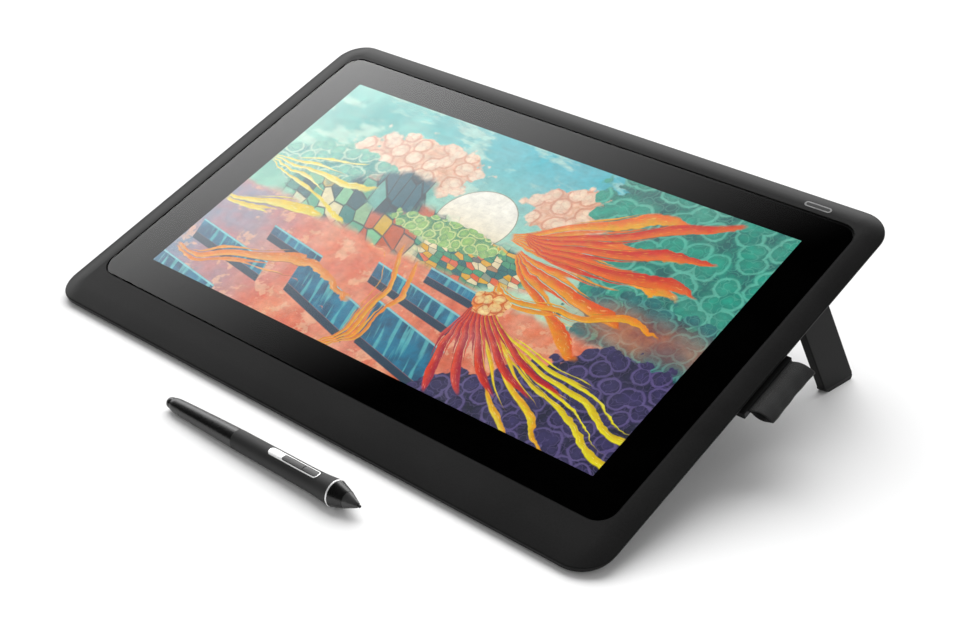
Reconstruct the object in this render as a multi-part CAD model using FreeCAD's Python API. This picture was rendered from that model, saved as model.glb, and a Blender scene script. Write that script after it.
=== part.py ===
import FreeCAD, Part
import math
import os
from FreeCAD import Placement, Rotation, Vector

# Pen drawing tablet with a 15.6 inch screen, on its two fold-out legs, with its pen on the desk
# in front of it.  Millimetres.  The housing is drawn flat, in the tablet frame: x to the right,
# y up the screen, z out of the glass, zero at the centre of the picture on the glass.  The pen is
# drawn along +x from its tail, in the pen frame.  Each sub-part is then moved into the desk
# frame, where +z is up and the origin is the middle of the footprint on the desk.

# ---- driving dimensions: housing -----------------------------------------------------------
TILT = 19.64                # slope of the screen when the legs are open, degrees
HOUSING_W = 421.0
HOUSING_D = 282.0
HOUSING_Y = -7.3            # centre of the housing, from the centre of the picture
CORNER_R = 19.0
PART_Z = -3.2               # parting line between bezel and rear cover
WALL_Z = -10.6              # lower end of the cover's steep side
WALL_IN = 5.0               # how far the steep side leans in on its way down
BACK_Z = -22.5              # flat back
BACK_IN = 20.0              # how far the flat back is set in from the sides
WALL = 2.3
DESK_AT_FRONT = -5.4        # depth of the desk under the glass plane at the front edge
CHAMFER_GAP = 1.6           # height of the front underside above the desk

# ---- driving dimensions: bezel and glass ----------------------------------------------------
CROWN_W = 12.0              # width of the rounded fall along the bezel's rim
CROWN_DROP = 1.9            # its fall at the sides and the rear
FRONT_DROP = 0.25           # its fall along the front edge
RIM_R = 0.8
GLASS_W = 393.0
GLASS_D = 237.4
GLASS_Y = -0.8
GLASS_R = 10.5
GLASS_T = 1.1
GLASS_TOP = -0.1
GLASS_GAP = 0.8
TAPE_T = 0.3
PRINT_GAP = 0.02            # optical bond between the glass and the black print
LEDGE_W = 376.0
LEDGE_D = 222.0
LEDGE_BOTTOM = -3.8
SKIRT_Z = -6.0
SKIRT_T = 1.6
PICTURE_W = 344.2
PICTURE_D = 193.6

# ---- driving dimensions: screen stack (z of each layer's lower face) --------------------------
PANEL_W = 354.0
PANEL_D = 208.0
MASK_Z = -1.3
LCD_Z = -2.9
DIFFUSER_Z = -3.6
GUIDE_Z = -5.6
REFLECTOR_Z = -5.8
DIGITIZER_Z = -6.8
SHIELD_Z = -7.3
CHASSIS_Z = -8.5
BOARD_TOP = -10.7
BOARD_Z = -12.3
BOARD_X = (-46.0, 74.0)
BOARD_Y = (30.0, 98.0)

# ---- driving dimensions: screws --------------------------------------------------------------
BOSS_Z = -9.0               # where the bezel's bosses meet the cover's posts
BOSS_R = 3.2
CHASSIS_BOSS_R = 3.0
POST_R = 4.6
SCREW_SEAT = 2.0            # thickness of a post's end, which a case screw's head bears on
CASE_X = HOUSING_W / 2 - 10.5
CASE_SPOTS = ([(side * CASE_X, y) for side in (-1, 1) for y in (-108.0, -50.0, 44.0, 112.0)]
              + [(x, -119.0) for x in (-140.0, -47.0, 47.0, 140.0)]
              + [(x, 123.4) for x in (-150.0, -55.0, 55.0, 140.0)])
CHASSIS_SPOTS = [(side * 191.0, y) for side in (-1, 1) for y in (-100.0, -20.0, 20.0, 98.0)]
BOARD_SPOTS = [(x, y) for x in (BOARD_X[0] + 5, BOARD_X[1] - 5)
               for y in (BOARD_Y[0] + 5, BOARD_Y[1] - 5)]
SCREW_R = 1.25
HEAD_R = 2.4
HEAD_T = 1.6

# ---- driving dimensions: legs ------------------------------------------------------------------
LEAN = 14.0                 # an open leg leans outward past the perpendicular, degrees
HINGE_X = 179.7
HINGE_Z = -17.5
LEG_Y = (66.5, 92.0)
LEG_T = 5.5
LEG_SKIN = -BACK_Z + HINGE_Z  # from the hinge axis to the leg's outer face
WELL_Y = (65.7, 92.8)
WELL_X = 103.5
WELL_ROOF = -16.2
HINGE_ROOF = -12.0
STOP_GAP = 0.3
PIN_R = 1.5
RUNNING = 0.06
FOOT_T = 2.2

# ---- driving dimensions: spare nib holder, in the roof of the left leg's well --------------------
HOLDER_X = (-150.0, -118.0)
HOLDER_Y = (70.0, 89.0)
HOLDER_T = 3.2
NIB_GROOVES = (73.0, 76.5, 80.0)
GROOVE_DEPTH = 1.9
PULLER_AT = (HOLDER_X[0] + 11.0, 85.0)

# ---- driving dimensions: power button ----------------------------------------------------------
BUTTON_X = 166.2
BUTTON_Y = 123.8
RING_SIZE = (17.2, 4.1)
BUTTON_SIZE = (15.2, 2.3)
BUTTON_FREE = 0.15
PEG_X = 12.0                # pegs that carry the switch board, each side of the button
PEG_R = 0.8
SWITCH_BOARD_Z = (-7.3, -6.3)

# ---- driving dimensions: pen loop --------------------------------------------------------------
LOOP_Y = (-22.4, 22.6)
LOOP_Z = -8.0               # middle of the clip's height
CLIP_LIP = 1.5
CLIP_DEPTH = 12.2
SOCKET_END = 11.4           # how deep the clip's pocket is
BAND_Y = (-18.2, 21.6)
TAIL_Y = (-17.0, 19.0)
BAND_T = 0.95
LOOP_REACH = 16.0           # how far the loop stands out of the housing
LOOP_H = 7.6                # its outer height where it is fullest

# ---- driving dimensions: feet, vents and lock slot -------------------------------------------
FRONT_FOOT_X = (126.5, 171.0)
FRONT_FOOT_Y = (-146.8, -138.3)
BACK_FOOT_X = (130.0, 172.0)
BACK_FOOT_Y = ((-96.0, -88.0), (104.0, 112.0))
BACK_FOOT_H = 2.0
FOOT_SEAT = 0.8
FIT = 0.05                  # assembly gap round a piece set into another
VENTS = 7
VENT_PITCH = 6.0
VENT_ROWS = (-30.0, 8.0)
LOCK_Y = 100.0
LOCK_SLOT = (7.0, 3.0)
LOCK_Z = -8.0

# ---- driving dimensions: cable bay -------------------------------------------------------------
BAY_X = (-14.0, 14.0)
BAY_Y = 112.0
BAY_ROOF = -12.9
BAY_WALL = 1.8

# ---- driving dimensions: pen ---------------------------------------------------------------------
PEN_LENGTH = 150.7
PEN_TAIL = (-57.6, -173.1)  # plan position of the tail and the tip, tablet's middle line at x = 0
PEN_TIP = (92.9, -174.7)
PEN_ROLL = 9.0              # the side switch is turned this far toward the front, degrees
SEAM_S = 58.2               # where the glossy barrel meets the soft grip
BARREL_PROFILE = [(8.5, 4.25), (12.0, 4.42), (28.0, 4.95), (44.0, 5.42), (SEAM_S, 5.73)]
GRIP_PROFILE = [(SEAM_S, 5.73), (66.0, 5.82), (78.0, 5.91), (92.0, 6.05), (106.0, 6.14),
                (115.0, 6.24), (122.0, 6.50), (127.0, 6.90), (132.3, 7.35)]
SLEEVE_R = 4.7              # the barrel's thin front sleeve, under the grip
SLEEVE_END = 127.0
BORE_R = 3.6
RING_S = (132.3, 133.3)
CONE_S = (133.3, 141.3, 149.0)
CONE_R = (7.15, 4.75, 1.3)
NIB_R = 0.8
SWITCH_S = (84.9, 121.9)
SWITCH_W = 5.4
ROCKER_S = (95.3, 121.2)
ROCKER_W = 4.2
ROCKER_SPLIT = 110.9
PIVOT = (107.6, 3.0)        # rocker pivot: along the pen, and above its axis

FRONT_Y = HOUSING_Y - HOUSING_D / 2
REAR_Y = HOUSING_Y + HOUSING_D / 2
SIDE_X = HOUSING_W / 2
SIN, COS = math.sin(math.radians(TILT)), math.cos(math.radians(TILT))
LEAN_SIN, LEAN_COS = math.sin(math.radians(LEAN)), math.cos(math.radians(LEAN))
DESK = FRONT_Y * SIN + DESK_AT_FRONT * COS      # height of the desk in the tilted frame
UP = Vector(0, 0, 1)


# ---- solids ------------------------------------------------------------------------------------
def block(x, y, z):
    return Part.makeBox(x[1] - x[0], y[1] - y[0], z[1] - z[0], Vector(x[0], y[0], z[0]))


def rod(radius, start, end):
    start, end = Vector(*start), Vector(*end)
    return Part.makeCylinder(radius, start.distanceToPoint(end), start, end - start)


def rounded_wire(x, y, radius, z):
    """Rectangle with rounded corners, as a closed wire at height z."""
    centres = [(x[1] - radius, y[1] - radius), (x[0] + radius, y[1] - radius),
               (x[0] + radius, y[0] + radius), (x[1] - radius, y[0] + radius)]
    arcs = [Part.makeCircle(radius, Vector(cx, cy, z), UP, 90 * i, 90 * i + 90)
            for i, (cx, cy) in enumerate(centres)]
    edges = []
    for i, arc in enumerate(arcs):
        edges.append(arc)
        start = arc.valueAt(arc.LastParameter)
        following = arcs[(i + 1) % 4]
        end = following.valueAt(following.FirstParameter)
        if start.distanceToPoint(end) > 1e-6:
            edges.append(Part.makeLine(start, end))
    return Part.Wire(edges)


def slab(x, y, radius, z):
    """Plate with rounded corners between two heights."""
    face = Part.Face(rounded_wire(x, y, radius, z[0]))
    return face.extrude(Vector(0, 0, z[1] - z[0]))


def centred(width, depth, middle=0.0):
    """Spans of a rectangle centred on x = 0 and y = middle."""
    return (-width / 2, width / 2), (middle - depth / 2, middle + depth / 2)


def pill(centre, size, z):
    """Plate with fully rounded ends."""
    x = (centre[0] - size[0] / 2, centre[0] + size[0] / 2)
    y = (centre[1] - size[1] / 2, centre[1] + size[1] / 2)
    return slab(x, y, size[1] / 2, z)


def inset(amount):
    """Spans of the housing's outline, set in on every side."""
    return (-SIDE_X + amount, SIDE_X - amount), (FRONT_Y + amount, REAR_Y - amount)


def lean(z):
    """How far the leaning side has come in at a height below the parting line."""
    return WALL_IN * (PART_Z - z) / (PART_Z - WALL_Z)


def prism(points, start, length):
    """Extrude a polygon given in x and z along y."""
    wire = Part.makePolygon([Vector(x, start, z) for x, z in points + points[:1]])
    return Part.Face(wire).extrude(Vector(0, length, 0))


def mirrored(shape):
    return shape.mirror(Vector(0, 0, 0), Vector(1, 0, 0))


def below_desk_gap(gap):
    """Everything lower than a plane this far above the desk, in the tablet frame."""
    solid = block((-260, 260), (-260, 260), (DESK + gap - 120, DESK + gap))
    solid.rotate(Vector(0, 0, 0), Vector(1, 0, 0), -TILT)
    return solid


def desk_depth(y):
    """Height of the desk plane in the tablet frame, at a place up the slope."""
    return (DESK - y * SIN) / COS


# ---- housing -------------------------------------------------------------------------------------
def crown_wire(foot, outward, drop):
    """Section of what the rounded rim leaves open above it, at one point of the outline."""
    run = CROWN_W - RIM_R
    radius = (run * run + drop * drop) / (2 * drop)
    half = math.asin(run / radius) / 2
    near = 1 - math.sin(math.radians(45))

    def at(r, z):
        return foot + outward * r + UP * z
    start = at(-CROWN_W, 0)
    shoulder = at(-RIM_R, -drop)
    middle = at(-CROWN_W + radius * math.sin(half), -radius * (1 - math.cos(half)))
    edge = at(0, -drop - RIM_R)
    rim = at(-near * RIM_R, -drop - near * RIM_R)
    outer, high, back = at(1, -drop - RIM_R), at(1, 1), at(-CROWN_W, 1)
    return Part.Wire([Part.Arc(start, middle, shoulder).toShape(),
                      Part.Arc(shoulder, rim, edge).toShape(),
                      Part.makeLine(edge, outer), Part.makeLine(outer, high),
                      Part.makeLine(high, back), Part.makeLine(back, start)])


def crown_cutters():
    """Solids that round the bezel's rim: deep at the sides and rear, fading out at the front."""
    left, right, front, rear = Vector(-1, 0, 0), Vector(1, 0, 0), Vector(0, -1, 0), Vector(0, 1, 0)
    side_run = Vector(0, HOUSING_D - 2 * CORNER_R, 0)
    long_run = Vector(HOUSING_W - 2 * CORNER_R, 0, 0)
    cutters = []
    for side, outward in ((-1, left), (1, right)):
        foot = Vector(side * SIDE_X, FRONT_Y + CORNER_R, 0)
        cutters.append(Part.Face(crown_wire(foot, outward, CROWN_DROP)).extrude(side_run))
        centre = Vector(side * (SIDE_X - CORNER_R), REAR_Y - CORNER_R, 0)
        section = Part.Face(crown_wire(centre + outward * CORNER_R, outward, CROWN_DROP))
        cutters.append(section.revolve(centre, UP, 90 * side))
        cutters.append(front_corner_cutter(side))
    foot = Vector(-SIDE_X + CORNER_R, REAR_Y, 0)
    cutters.append(Part.Face(crown_wire(foot, rear, CROWN_DROP)).extrude(long_run))
    foot = Vector(-SIDE_X + CORNER_R, FRONT_Y, 0)
    cutters.append(Part.Face(crown_wire(foot, front, FRONT_DROP)).extrude(long_run))
    return cutters


def front_corner_cutter(side):
    """Rim of a front corner, where the fall fades from the side's to the front's."""
    centre = Vector(side * (SIDE_X - CORNER_R), FRONT_Y + CORNER_R, 0)
    steps = 6
    wires = []
    for i in range(steps + 1):
        turn = math.radians(90 * i / steps)
        outward = Vector(side * math.cos(turn), -math.sin(turn), 0)
        fade = 0.5 + 0.5 * math.cos(math.pi * i / steps)
        drop = FRONT_DROP + (CROWN_DROP - FRONT_DROP) * fade
        wires.append(crown_wire(centre + outward * CORNER_R, outward, drop))
    return Part.makeLoft(wires, True, False)


def bezel_skirt():
    """Rib under the bezel's edge, which lies just inside the rear cover's side."""
    skirt_in = WALL + 0.2 + lean(SKIRT_Z)
    core_in = skirt_in + SKIRT_T
    body = slab(*inset(skirt_in), CORNER_R - skirt_in, (SKIRT_Z, PART_Z))
    return body.cut(slab(*inset(core_in), CORNER_R - core_in, (SKIRT_Z - 1, LEDGE_BOTTOM)))


def front_bezel():
    under = bezel_skirt()
    for x, y in CASE_SPOTS:
        under = under.fuse(rod(BOSS_R, (x, y, BOSS_Z), (x, y, LEDGE_BOTTOM + 0.5)))
    for x, y in CHASSIS_SPOTS:
        under = under.fuse(rod(CHASSIS_BOSS_R, (x, y, SHIELD_Z), (x, y, LEDGE_BOTTOM + 0.5)))
    for x in (BUTTON_X - PEG_X, BUTTON_X + PEG_X):
        stand = rod(PEG_R + 1.0, (x, BUTTON_Y, SWITCH_BOARD_Z[1]), (x, BUTTON_Y, LEDGE_BOTTOM + 0.5))
        peg = rod(PEG_R, (x, BUTTON_Y, SWITCH_BOARD_Z[0] - 0.4), (x, BUTTON_Y, SWITCH_BOARD_Z[1] + 0.3))
        under = under.fuse([stand, peg])
    under = under.cut(below_desk_gap(CHAMFER_GAP + WALL + 0.1))
    body = slab(*inset(0), CORNER_R, (PART_Z, 0)).fuse(under)
    window = centred(GLASS_W + 2 * GLASS_GAP, GLASS_D + 2 * GLASS_GAP, GLASS_Y)
    body = body.cut(slab(*window, GLASS_R + GLASS_GAP, (MASK_Z - TAPE_T, 2)))
    body = body.cut(slab(*centred(LEDGE_W, LEDGE_D), 4.0, (-12, 2)))
    for x, y in CASE_SPOTS:
        body = body.cut(rod(SCREW_R, (x, y, BOSS_Z - 1), (x, y, LEDGE_BOTTOM)))
    for x, y in CHASSIS_SPOTS:
        body = body.cut(rod(SCREW_R, (x, y, SHIELD_Z - 1), (x, y, LEDGE_BOTTOM)))
    body = body.cut(pill((BUTTON_X, BUTTON_Y), RING_SIZE, (-6, 2)))
    return body.cut(crown_cutters())


def cover_sides(wall, back_in):
    """Leaning sides of the cover and its slope down to the back, this far inside the outline."""
    top = rounded_wire(*inset(wall), CORNER_R - wall, PART_Z)
    knee = rounded_wire(*inset(wall + WALL_IN), CORNER_R - wall - WALL_IN, WALL_Z)
    x, y = inset(back_in)
    back = rounded_wire(x, (FRONT_Y + wall + WALL_IN, y[1] + 2), CORNER_R - wall - WALL_IN,
                        BACK_Z + wall)
    return Part.makeLoft([top, knee], True, True).fuse(Part.makeLoft([knee, back], True, True))


def cover_outer():
    return cover_sides(0, BACK_IN).cut(below_desk_gap(CHAMFER_GAP)).removeSplitter()


def cover_inner():
    rim = slab(*inset(WALL), CORNER_R - WALL, (PART_Z, PART_Z + 1))
    body = cover_sides(WALL, BACK_IN + 1.4).fuse(rim)
    return body.cut(below_desk_gap(CHAMFER_GAP + WALL))


def rear_cover():
    outer = cover_outer()
    body = outer.cut(cover_inner())
    for x, y in CASE_SPOTS:
        post = rod(POST_R, (x, y, BACK_Z), (x, y, BOSS_Z)).common(outer)
        body = body.fuse(post)
        body = body.cut(rod(HEAD_R + 0.3, (x, y, BACK_Z - 1), (x, y, BOSS_Z - SCREW_SEAT)))
        body = body.cut(rod(SCREW_R + 0.2, (x, y, BACK_Z), (x, y, BOSS_Z + 1)))
    for side in (-1, 1):
        wells = block((WELL_X - 1.9, 188.9), (WELL_Y[0] - 1.9, WELL_Y[1] + 1.9), (-30, -15))
        body = body.cut(wells if side > 0 else mirrored(wells))
    body = body.cut(block((BAY_X[0] - BAY_WALL, BAY_X[1] + BAY_WALL),
                          (BAY_Y - BAY_WALL, REAR_Y + 5), (-30, BAY_ROOF + BAY_WALL)))
    body = body.cut(clip_slab(2.0, 1.7, (SIDE_X - 9, SIDE_X + 4)))
    body = body.cut(lock_hole(0.0))
    for i in range(-VENTS, VENTS + 1):
        for y in VENT_ROWS:
            x = (i * VENT_PITCH - 0.9, i * VENT_PITCH + 0.9)
            body = body.cut(slab(x, (y, y + 22.0), 0.89, (BACK_Z - 1, BACK_Z + WALL + 1)))
    return body.cut(back_feet(FIT)).cut(front_feet(FIT))


def lock_hole(margin):
    half_y, half_z = LOCK_SLOT[0] / 2 - margin, LOCK_SLOT[1] / 2 - margin
    return block((-SIDE_X - 1, -SIDE_X + 9.5), (LOCK_Y - half_y, LOCK_Y + half_y),
                 (LOCK_Z - half_z, LOCK_Z + half_z))


def lock_plate():
    x = -SIDE_X + WALL + WALL_IN + 0.1
    plate = block((x, x + 1.2), (LOCK_Y - 7, LOCK_Y + 7), (WALL_Z + 0.1, -4.4))
    return plate.cut(lock_hole(0.15))


def front_feet(grow=0.0):
    """Rubber pads under the front edge, flat on the desk while the legs are open."""
    y = [at * COS - desk_depth(at) * SIN for at in FRONT_FOOT_Y]
    pad = slab((FRONT_FOOT_X[0] - grow, FRONT_FOOT_X[1] + grow), (y[0] - grow, y[1] + grow),
               3.0, (DESK, DESK + CHAMFER_GAP + FOOT_SEAT + grow))
    pads = pad.fuse(mirrored(pad))
    pads.rotate(Vector(0, 0, 0), Vector(1, 0, 0), -TILT)
    return pads


def back_feet(grow=0.0):
    """Rubber strips under the flat back, which the tablet rests on with its legs folded."""
    strips = []
    for low, high in BACK_FOOT_Y:
        strip = slab((BACK_FOOT_X[0] - grow, BACK_FOOT_X[1] + grow), (low - grow, high + grow),
                     3.9, (BACK_Z - BACK_FOOT_H, BACK_Z + FOOT_SEAT + grow))
        strips += [strip, mirrored(strip)]
    return Part.makeCompound(strips)


# ---- screen ----------------------------------------------------------------------------------------
def cover_glass():
    z = (GLASS_TOP - GLASS_T, GLASS_TOP)
    glass = slab(*centred(GLASS_W, GLASS_D, GLASS_Y), GLASS_R, z)
    rims = [edge for edge in glass.Edges if edge.BoundBox.ZLength < 1e-6]
    return glass.makeChamfer(0.2, rims)


def glass_tape():
    """Foam tape that holds the glass, by its print, on the bezel's ledge."""
    z = (MASK_Z - TAPE_T, MASK_Z)
    tape = slab(*centred(GLASS_W - 1, GLASS_D - 1, GLASS_Y), GLASS_R - 0.5, z)
    return tape.cut(slab(*centred(LEDGE_W + 1, LEDGE_D + 1), 4.5, (z[0] - 1, z[1] + 1)))


def border_mask():
    """Black print under the glass, open over the picture."""
    z = (MASK_Z, GLASS_TOP - GLASS_T - PRINT_GAP)
    mask = slab(*centred(GLASS_W - 0.6, GLASS_D - 0.6, GLASS_Y), GLASS_R - 0.3, z)
    return mask.cut(slab(*centred(PICTURE_W, PICTURE_D), 0.3, (z[0] - 1, z[1] + 1)))


def layer(z, width=PANEL_W, depth=PANEL_D, radius=1.0):
    return slab(*centred(width, depth), radius, z)


def light_guide():
    return slab((-PANEL_W / 2, PANEL_W / 2), (-PANEL_D / 2 + 2.4, PANEL_D / 2), 1.0,
                (GUIDE_Z, DIFFUSER_Z))


def led_strip():
    """Row of lamps along the front edge of the light guide, on their carrier strip."""
    low = -PANEL_D / 2
    strip = block((-170, 170), (low, low + 0.8), (GUIDE_Z, DIFFUSER_Z))
    lamps = [block((x - 2.2, x + 2.2), (low + 0.8, low + 2.2), (GUIDE_Z + 0.3, DIFFUSER_Z - 0.3))
             for x in range(-165, 166, 11)]
    return strip.fuse(lamps)


def panel_frame():
    """Moulded frame round the screen stack, held between the glass print and the chassis."""
    ring = layer((SHIELD_Z, MASK_Z), 366.0, 216.0, 4.0)
    ring = ring.cut(layer((SHIELD_Z - 1, MASK_Z + 1), PANEL_W + 0.4, PANEL_D + 0.4, 1.2))
    for x in range(-150, 151, 60):
        ring = ring.cut(block((x - 8, x + 8), (107.0, 109.0), (SHIELD_Z + 1.5, MASK_Z - 1.5)))
        ring = ring.cut(block((x - 8, x + 8), (-109.0, -107.0), (SHIELD_Z + 1.5, MASK_Z - 1.5)))
    return ring


def digitizer_slot(z):
    return block((-16.0, 16.0), (93.0, 96.0), z)


def shield_plate():
    return layer((SHIELD_Z, DIGITIZER_Z)).cut(digitizer_slot((SHIELD_Z - 1, DIGITIZER_Z + 1)))


def digitizer_cable():
    """Flat cable from the sensor board, through the chassis, onto the main board's socket."""
    outer = prism([(-14.0, -9.7), (14.0, -9.7), (14.0, -9.4), (-14.0, -9.4)], 84.0, 11.0)
    return outer.fuse(block((-14.0, 14.0), (94.7, 95.0), (-9.7, DIGITIZER_Z)))


def chassis_plate():
    """Pressed tray that stiffens the tablet and carries the main board."""
    z = (CHASSIS_Z, SHIELD_Z)
    plate = slab((-194.0, 194.0), (-115.0, 114.0), 6.0, z)
    plate = plate.cut(digitizer_slot((z[0] - 1, z[1] + 1)))
    for x, y in CHASSIS_SPOTS:
        plate = plate.cut(rod(SCREW_R + 0.2, (x, y, z[0] - 1), (x, y, z[1] + 1)))
    for x, y in BOARD_SPOTS:
        plate = plate.fuse(rod(2.8, (x, y, BOARD_TOP), (x, y, CHASSIS_Z)))
        plate = plate.cut(rod(SCREW_R, (x, y, BOARD_TOP - 1), (x, y, CHASSIS_Z)))
    for x in (-150.0, -110.0, -70.0, 100.0, 140.0):
        plate = plate.fuse(slab((x - 2, x + 2), (-96.0, -20.0), 1.9, (CHASSIS_Z - 1.6, CHASSIS_Z)))
    return plate


# ---- electronics -------------------------------------------------------------------------------------
def main_board():
    board = slab(BOARD_X, BOARD_Y, 2.0, (BOARD_Z, BOARD_TOP))
    for x, y in BOARD_SPOTS:
        board = board.cut(rod(SCREW_R + 0.2, (x, y, BOARD_Z - 1), (x, y, BOARD_TOP + 1)))
    return board


def board_chips():
    """Chips, coils and capacitors on the lower side of the main board."""
    spots = [(-30, 52, 12, 12, 1.2), (-30, 74, 9, 9, 1.0), (-8, 44, 8, 5, 1.4), (6, 44, 8, 5, 1.4),
             (62, 60, 6, 6, 2.8), (62, 72, 6, 6, 2.8), (52, 84, 5, 8, 1.8), (-8, 84, 7, 7, 1.0)]
    chips = [block((x - w / 2, x + w / 2), (y - d / 2, y + d / 2), (BOARD_Z - h, BOARD_Z))
             for x, y, w, d, h in spots]
    chips += [rod(2.5, (x, 40.0, BOARD_Z - 4.6), (x, 40.0, BOARD_Z)) for x in (30.0, 38.0, 46.0)]
    return Part.makeCompound(chips)


def board_shield():
    """Folded tin can over the radio-noisy part of the board."""
    can = slab((14.0, 46.0), (52.0, 80.0), 1.0, (BOARD_Z - 2.6, BOARD_Z))
    can = can.cut(slab((14.4, 45.6), (52.4, 79.6), 0.6, (BOARD_Z - 2.2, BOARD_Z + 1)))
    for x in range(20, 42, 5):
        for y in range(58, 76, 5):
            can = can.cut(rod(0.9, (x, y, BOARD_Z - 3), (x, y, BOARD_Z - 2)))
    return can


def board_connectors():
    """Flat-cable sockets on the upper side of the main board."""
    return Part.makeCompound([block((-17.0, 17.0), (84.0, 89.0), (BOARD_TOP, -9.7)),
                              block((34.0, 62.0), (84.0, 89.0), (BOARD_TOP, -9.7))])


def cable_socket():
    """Flat socket for the tablet's one cable, facing the rear inside the cable bay."""
    top = BOARD_Z
    shell = slab((-8.5, 8.5), (top - 6.4, top), 1.2, (0, 14.0))
    mouth = slab((-6.5, 6.5), (top - 4.9, top - 1.5), 1.6, (4.0, 15.0))
    tongue = slab((-5.0, 5.0), (top - 3.65, top - 2.75), 0.4, (3.0, 13.0))
    body = shell.cut(mouth).fuse(tongue)
    body.rotate(Vector(0, 0, 0), Vector(1, 0, 0), 90)
    body = body.mirror(Vector(0, 0, 0), Vector(0, 1, 0))
    body.translate(Vector(0, BAY_Y - 14.0, 0))
    return body


def cable_bay():
    """Pocket under the rear edge that the cable's plug and overmould lie in."""
    y0 = BAY_Y - BAY_WALL
    shell = block((BAY_X[0] - BAY_WALL, BAY_X[1] + BAY_WALL), (y0, REAR_Y + 5),
                  (-30, BAY_ROOF + BAY_WALL)).common(cover_outer())
    shell = shell.cut(block(BAY_X, (BAY_Y, REAR_Y + 6), (-31, BAY_ROOF)))
    return shell.cut(block((-8.6, 8.6), (y0 - 1, BAY_Y + 1), (BOARD_Z - 6.5, BOARD_Z + 0.1)))


def power_button():
    """Pill-shaped key with a flange that keeps it in the bezel, and a nub over the switch."""
    at = (BUTTON_X, BUTTON_Y)
    free = 2 * BUTTON_FREE
    cap = pill(at, (BUTTON_SIZE[0] - free, BUTTON_SIZE[1] - free), (-4.2, 0.15))
    flange = pill(at, (RING_SIZE[0] + 1.6, RING_SIZE[1] + 1.2), (-4.9, -4.1))
    return cap.fuse(flange).fuse(rod(1.1, (*at, -5.3), (*at, -4.5)))


def power_button_ring():
    """Pale collar round the key, set into the bezel."""
    at = (BUTTON_X, BUTTON_Y)
    ring = pill(at, (RING_SIZE[0] - 2 * FIT, RING_SIZE[1] - 2 * FIT), (LEDGE_BOTTOM, 0.05))
    return ring.cut(pill(at, BUTTON_SIZE, (-7, 2)))


def button_board():
    board = slab((BUTTON_X - 15, BUTTON_X + 15), (BUTTON_Y - 4.5, BUTTON_Y + 4.5), 1.0,
                 SWITCH_BOARD_Z)
    for x in (BUTTON_X - PEG_X, BUTTON_X + PEG_X):
        board = board.cut(rod(PEG_R + FIT, (x, BUTTON_Y, -8), (x, BUTTON_Y, -6)))
    return board


def button_dome():
    """Tact switch: a square can with a round snap dome on it."""
    low = SWITCH_BOARD_Z[1]
    can = slab((BUTTON_X - 2.6, BUTTON_X + 2.6), (BUTTON_Y - 2.6, BUTTON_Y + 2.6), 0.5,
               (low, low + 0.35))
    return can.fuse(Part.makeCone(1.6, 1.1, 0.2, Vector(BUTTON_X, BUTTON_Y, low + 0.35)))


# ---- legs (drawn on the right; the left ones are mirror images) -------------------------------------
def leg_point(along, out, y):
    """Point of the open leg: along it from the hinge axis, and out from that axis."""
    return Vector(HINGE_X + along * LEAN_SIN + out * LEAN_COS, y,
                  HINGE_Z - along * LEAN_COS + out * LEAN_SIN)


def leg_reach(y):
    """Distance along the leg from the hinge to the desk, on its outer face."""
    return (HINGE_Z + LEG_SKIN * LEAN_SIN - desk_depth(y)) / LEAN_COS


def leg_blank(y, margin=0.0):
    """Plate of the leg down to the desk, with its lower corners rounded."""
    out = LEG_SKIN - LEG_T + margin
    front_r, rear_r = 3.0, 6.0
    corners = [leg_point(0, out, y[0]), leg_point(0, out, y[1]),
               leg_point(leg_reach(y[1]) - rear_r, out, y[1]),
               leg_point(leg_reach(y[1] - rear_r), out, y[1] - rear_r),
               leg_point(leg_reach(y[0] + front_r), out, y[0] + front_r),
               leg_point(leg_reach(y[0]) - front_r, out, y[0])]
    bulge = 0.2929
    low_rear = leg_point(leg_reach(y[1]) - rear_r * bulge, out, y[1] - rear_r * bulge)
    low_front = leg_point(leg_reach(y[0]) - front_r * bulge, out, y[0] + front_r * bulge)
    edges = [Part.makeLine(corners[0], corners[1]), Part.makeLine(corners[1], corners[2]),
             Part.Arc(corners[2], low_rear, corners[3]).toShape(),
             Part.makeLine(corners[3], corners[4]),
             Part.Arc(corners[4], low_front, corners[5]).toShape(),
             Part.makeLine(corners[5], corners[0])]
    thick = LEG_T - 2 * margin
    return Part.Face(Part.Wire(edges)).extrude(Vector(thick * LEAN_COS, 0, thick * LEAN_SIN))


def leg():
    """Fold-out leg: a plate with a hinge barrel, hollowed on its inner face."""
    plate = leg_blank(LEG_Y)
    plate = plate.makeFillet(0.7, plate.Edges)
    axis = (HINGE_X, LEG_Y[0], HINGE_Z), (HINGE_X, LEG_Y[1], HINGE_Z)
    body = plate.fuse(rod(LEG_SKIN, *axis))
    for low, high in ((12.0, 34.0), (37.0, 60.0)):
        for y in ((LEG_Y[0] + 3.5, 78.4), (80.1, LEG_Y[1] - 3.5)):
            body = body.cut(leg_pocket((low, high), y, 1.8))
    bore = (HINGE_X, LEG_Y[0] - 1, HINGE_Z), (HINGE_X, LEG_Y[1] + 1, HINGE_Z)
    return body.cut(rod(PIN_R + RUNNING, *bore)).cut(below_desk_gap(FOOT_T))


def leg_pocket(along, y, depth):
    """Shallow hollow in the leg's inner face."""
    out = LEG_SKIN - LEG_T - 0.5
    ends = [leg_point(along[0], out, y[0]), leg_point(along[1], out, y[0]),
            leg_point(along[1], out, y[1]), leg_point(along[0], out, y[1])]
    face = Part.Face(Part.makePolygon(ends + ends[:1]))
    return face.extrude(Vector((depth + 0.5) * LEAN_COS, 0, (depth + 0.5) * LEAN_SIN))


def leg_foot():
    """Rubber tread on the leg's end."""
    return leg_blank(LEG_Y).common(below_desk_gap(FOOT_T)).cut(below_desk_gap(0.0))


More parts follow.
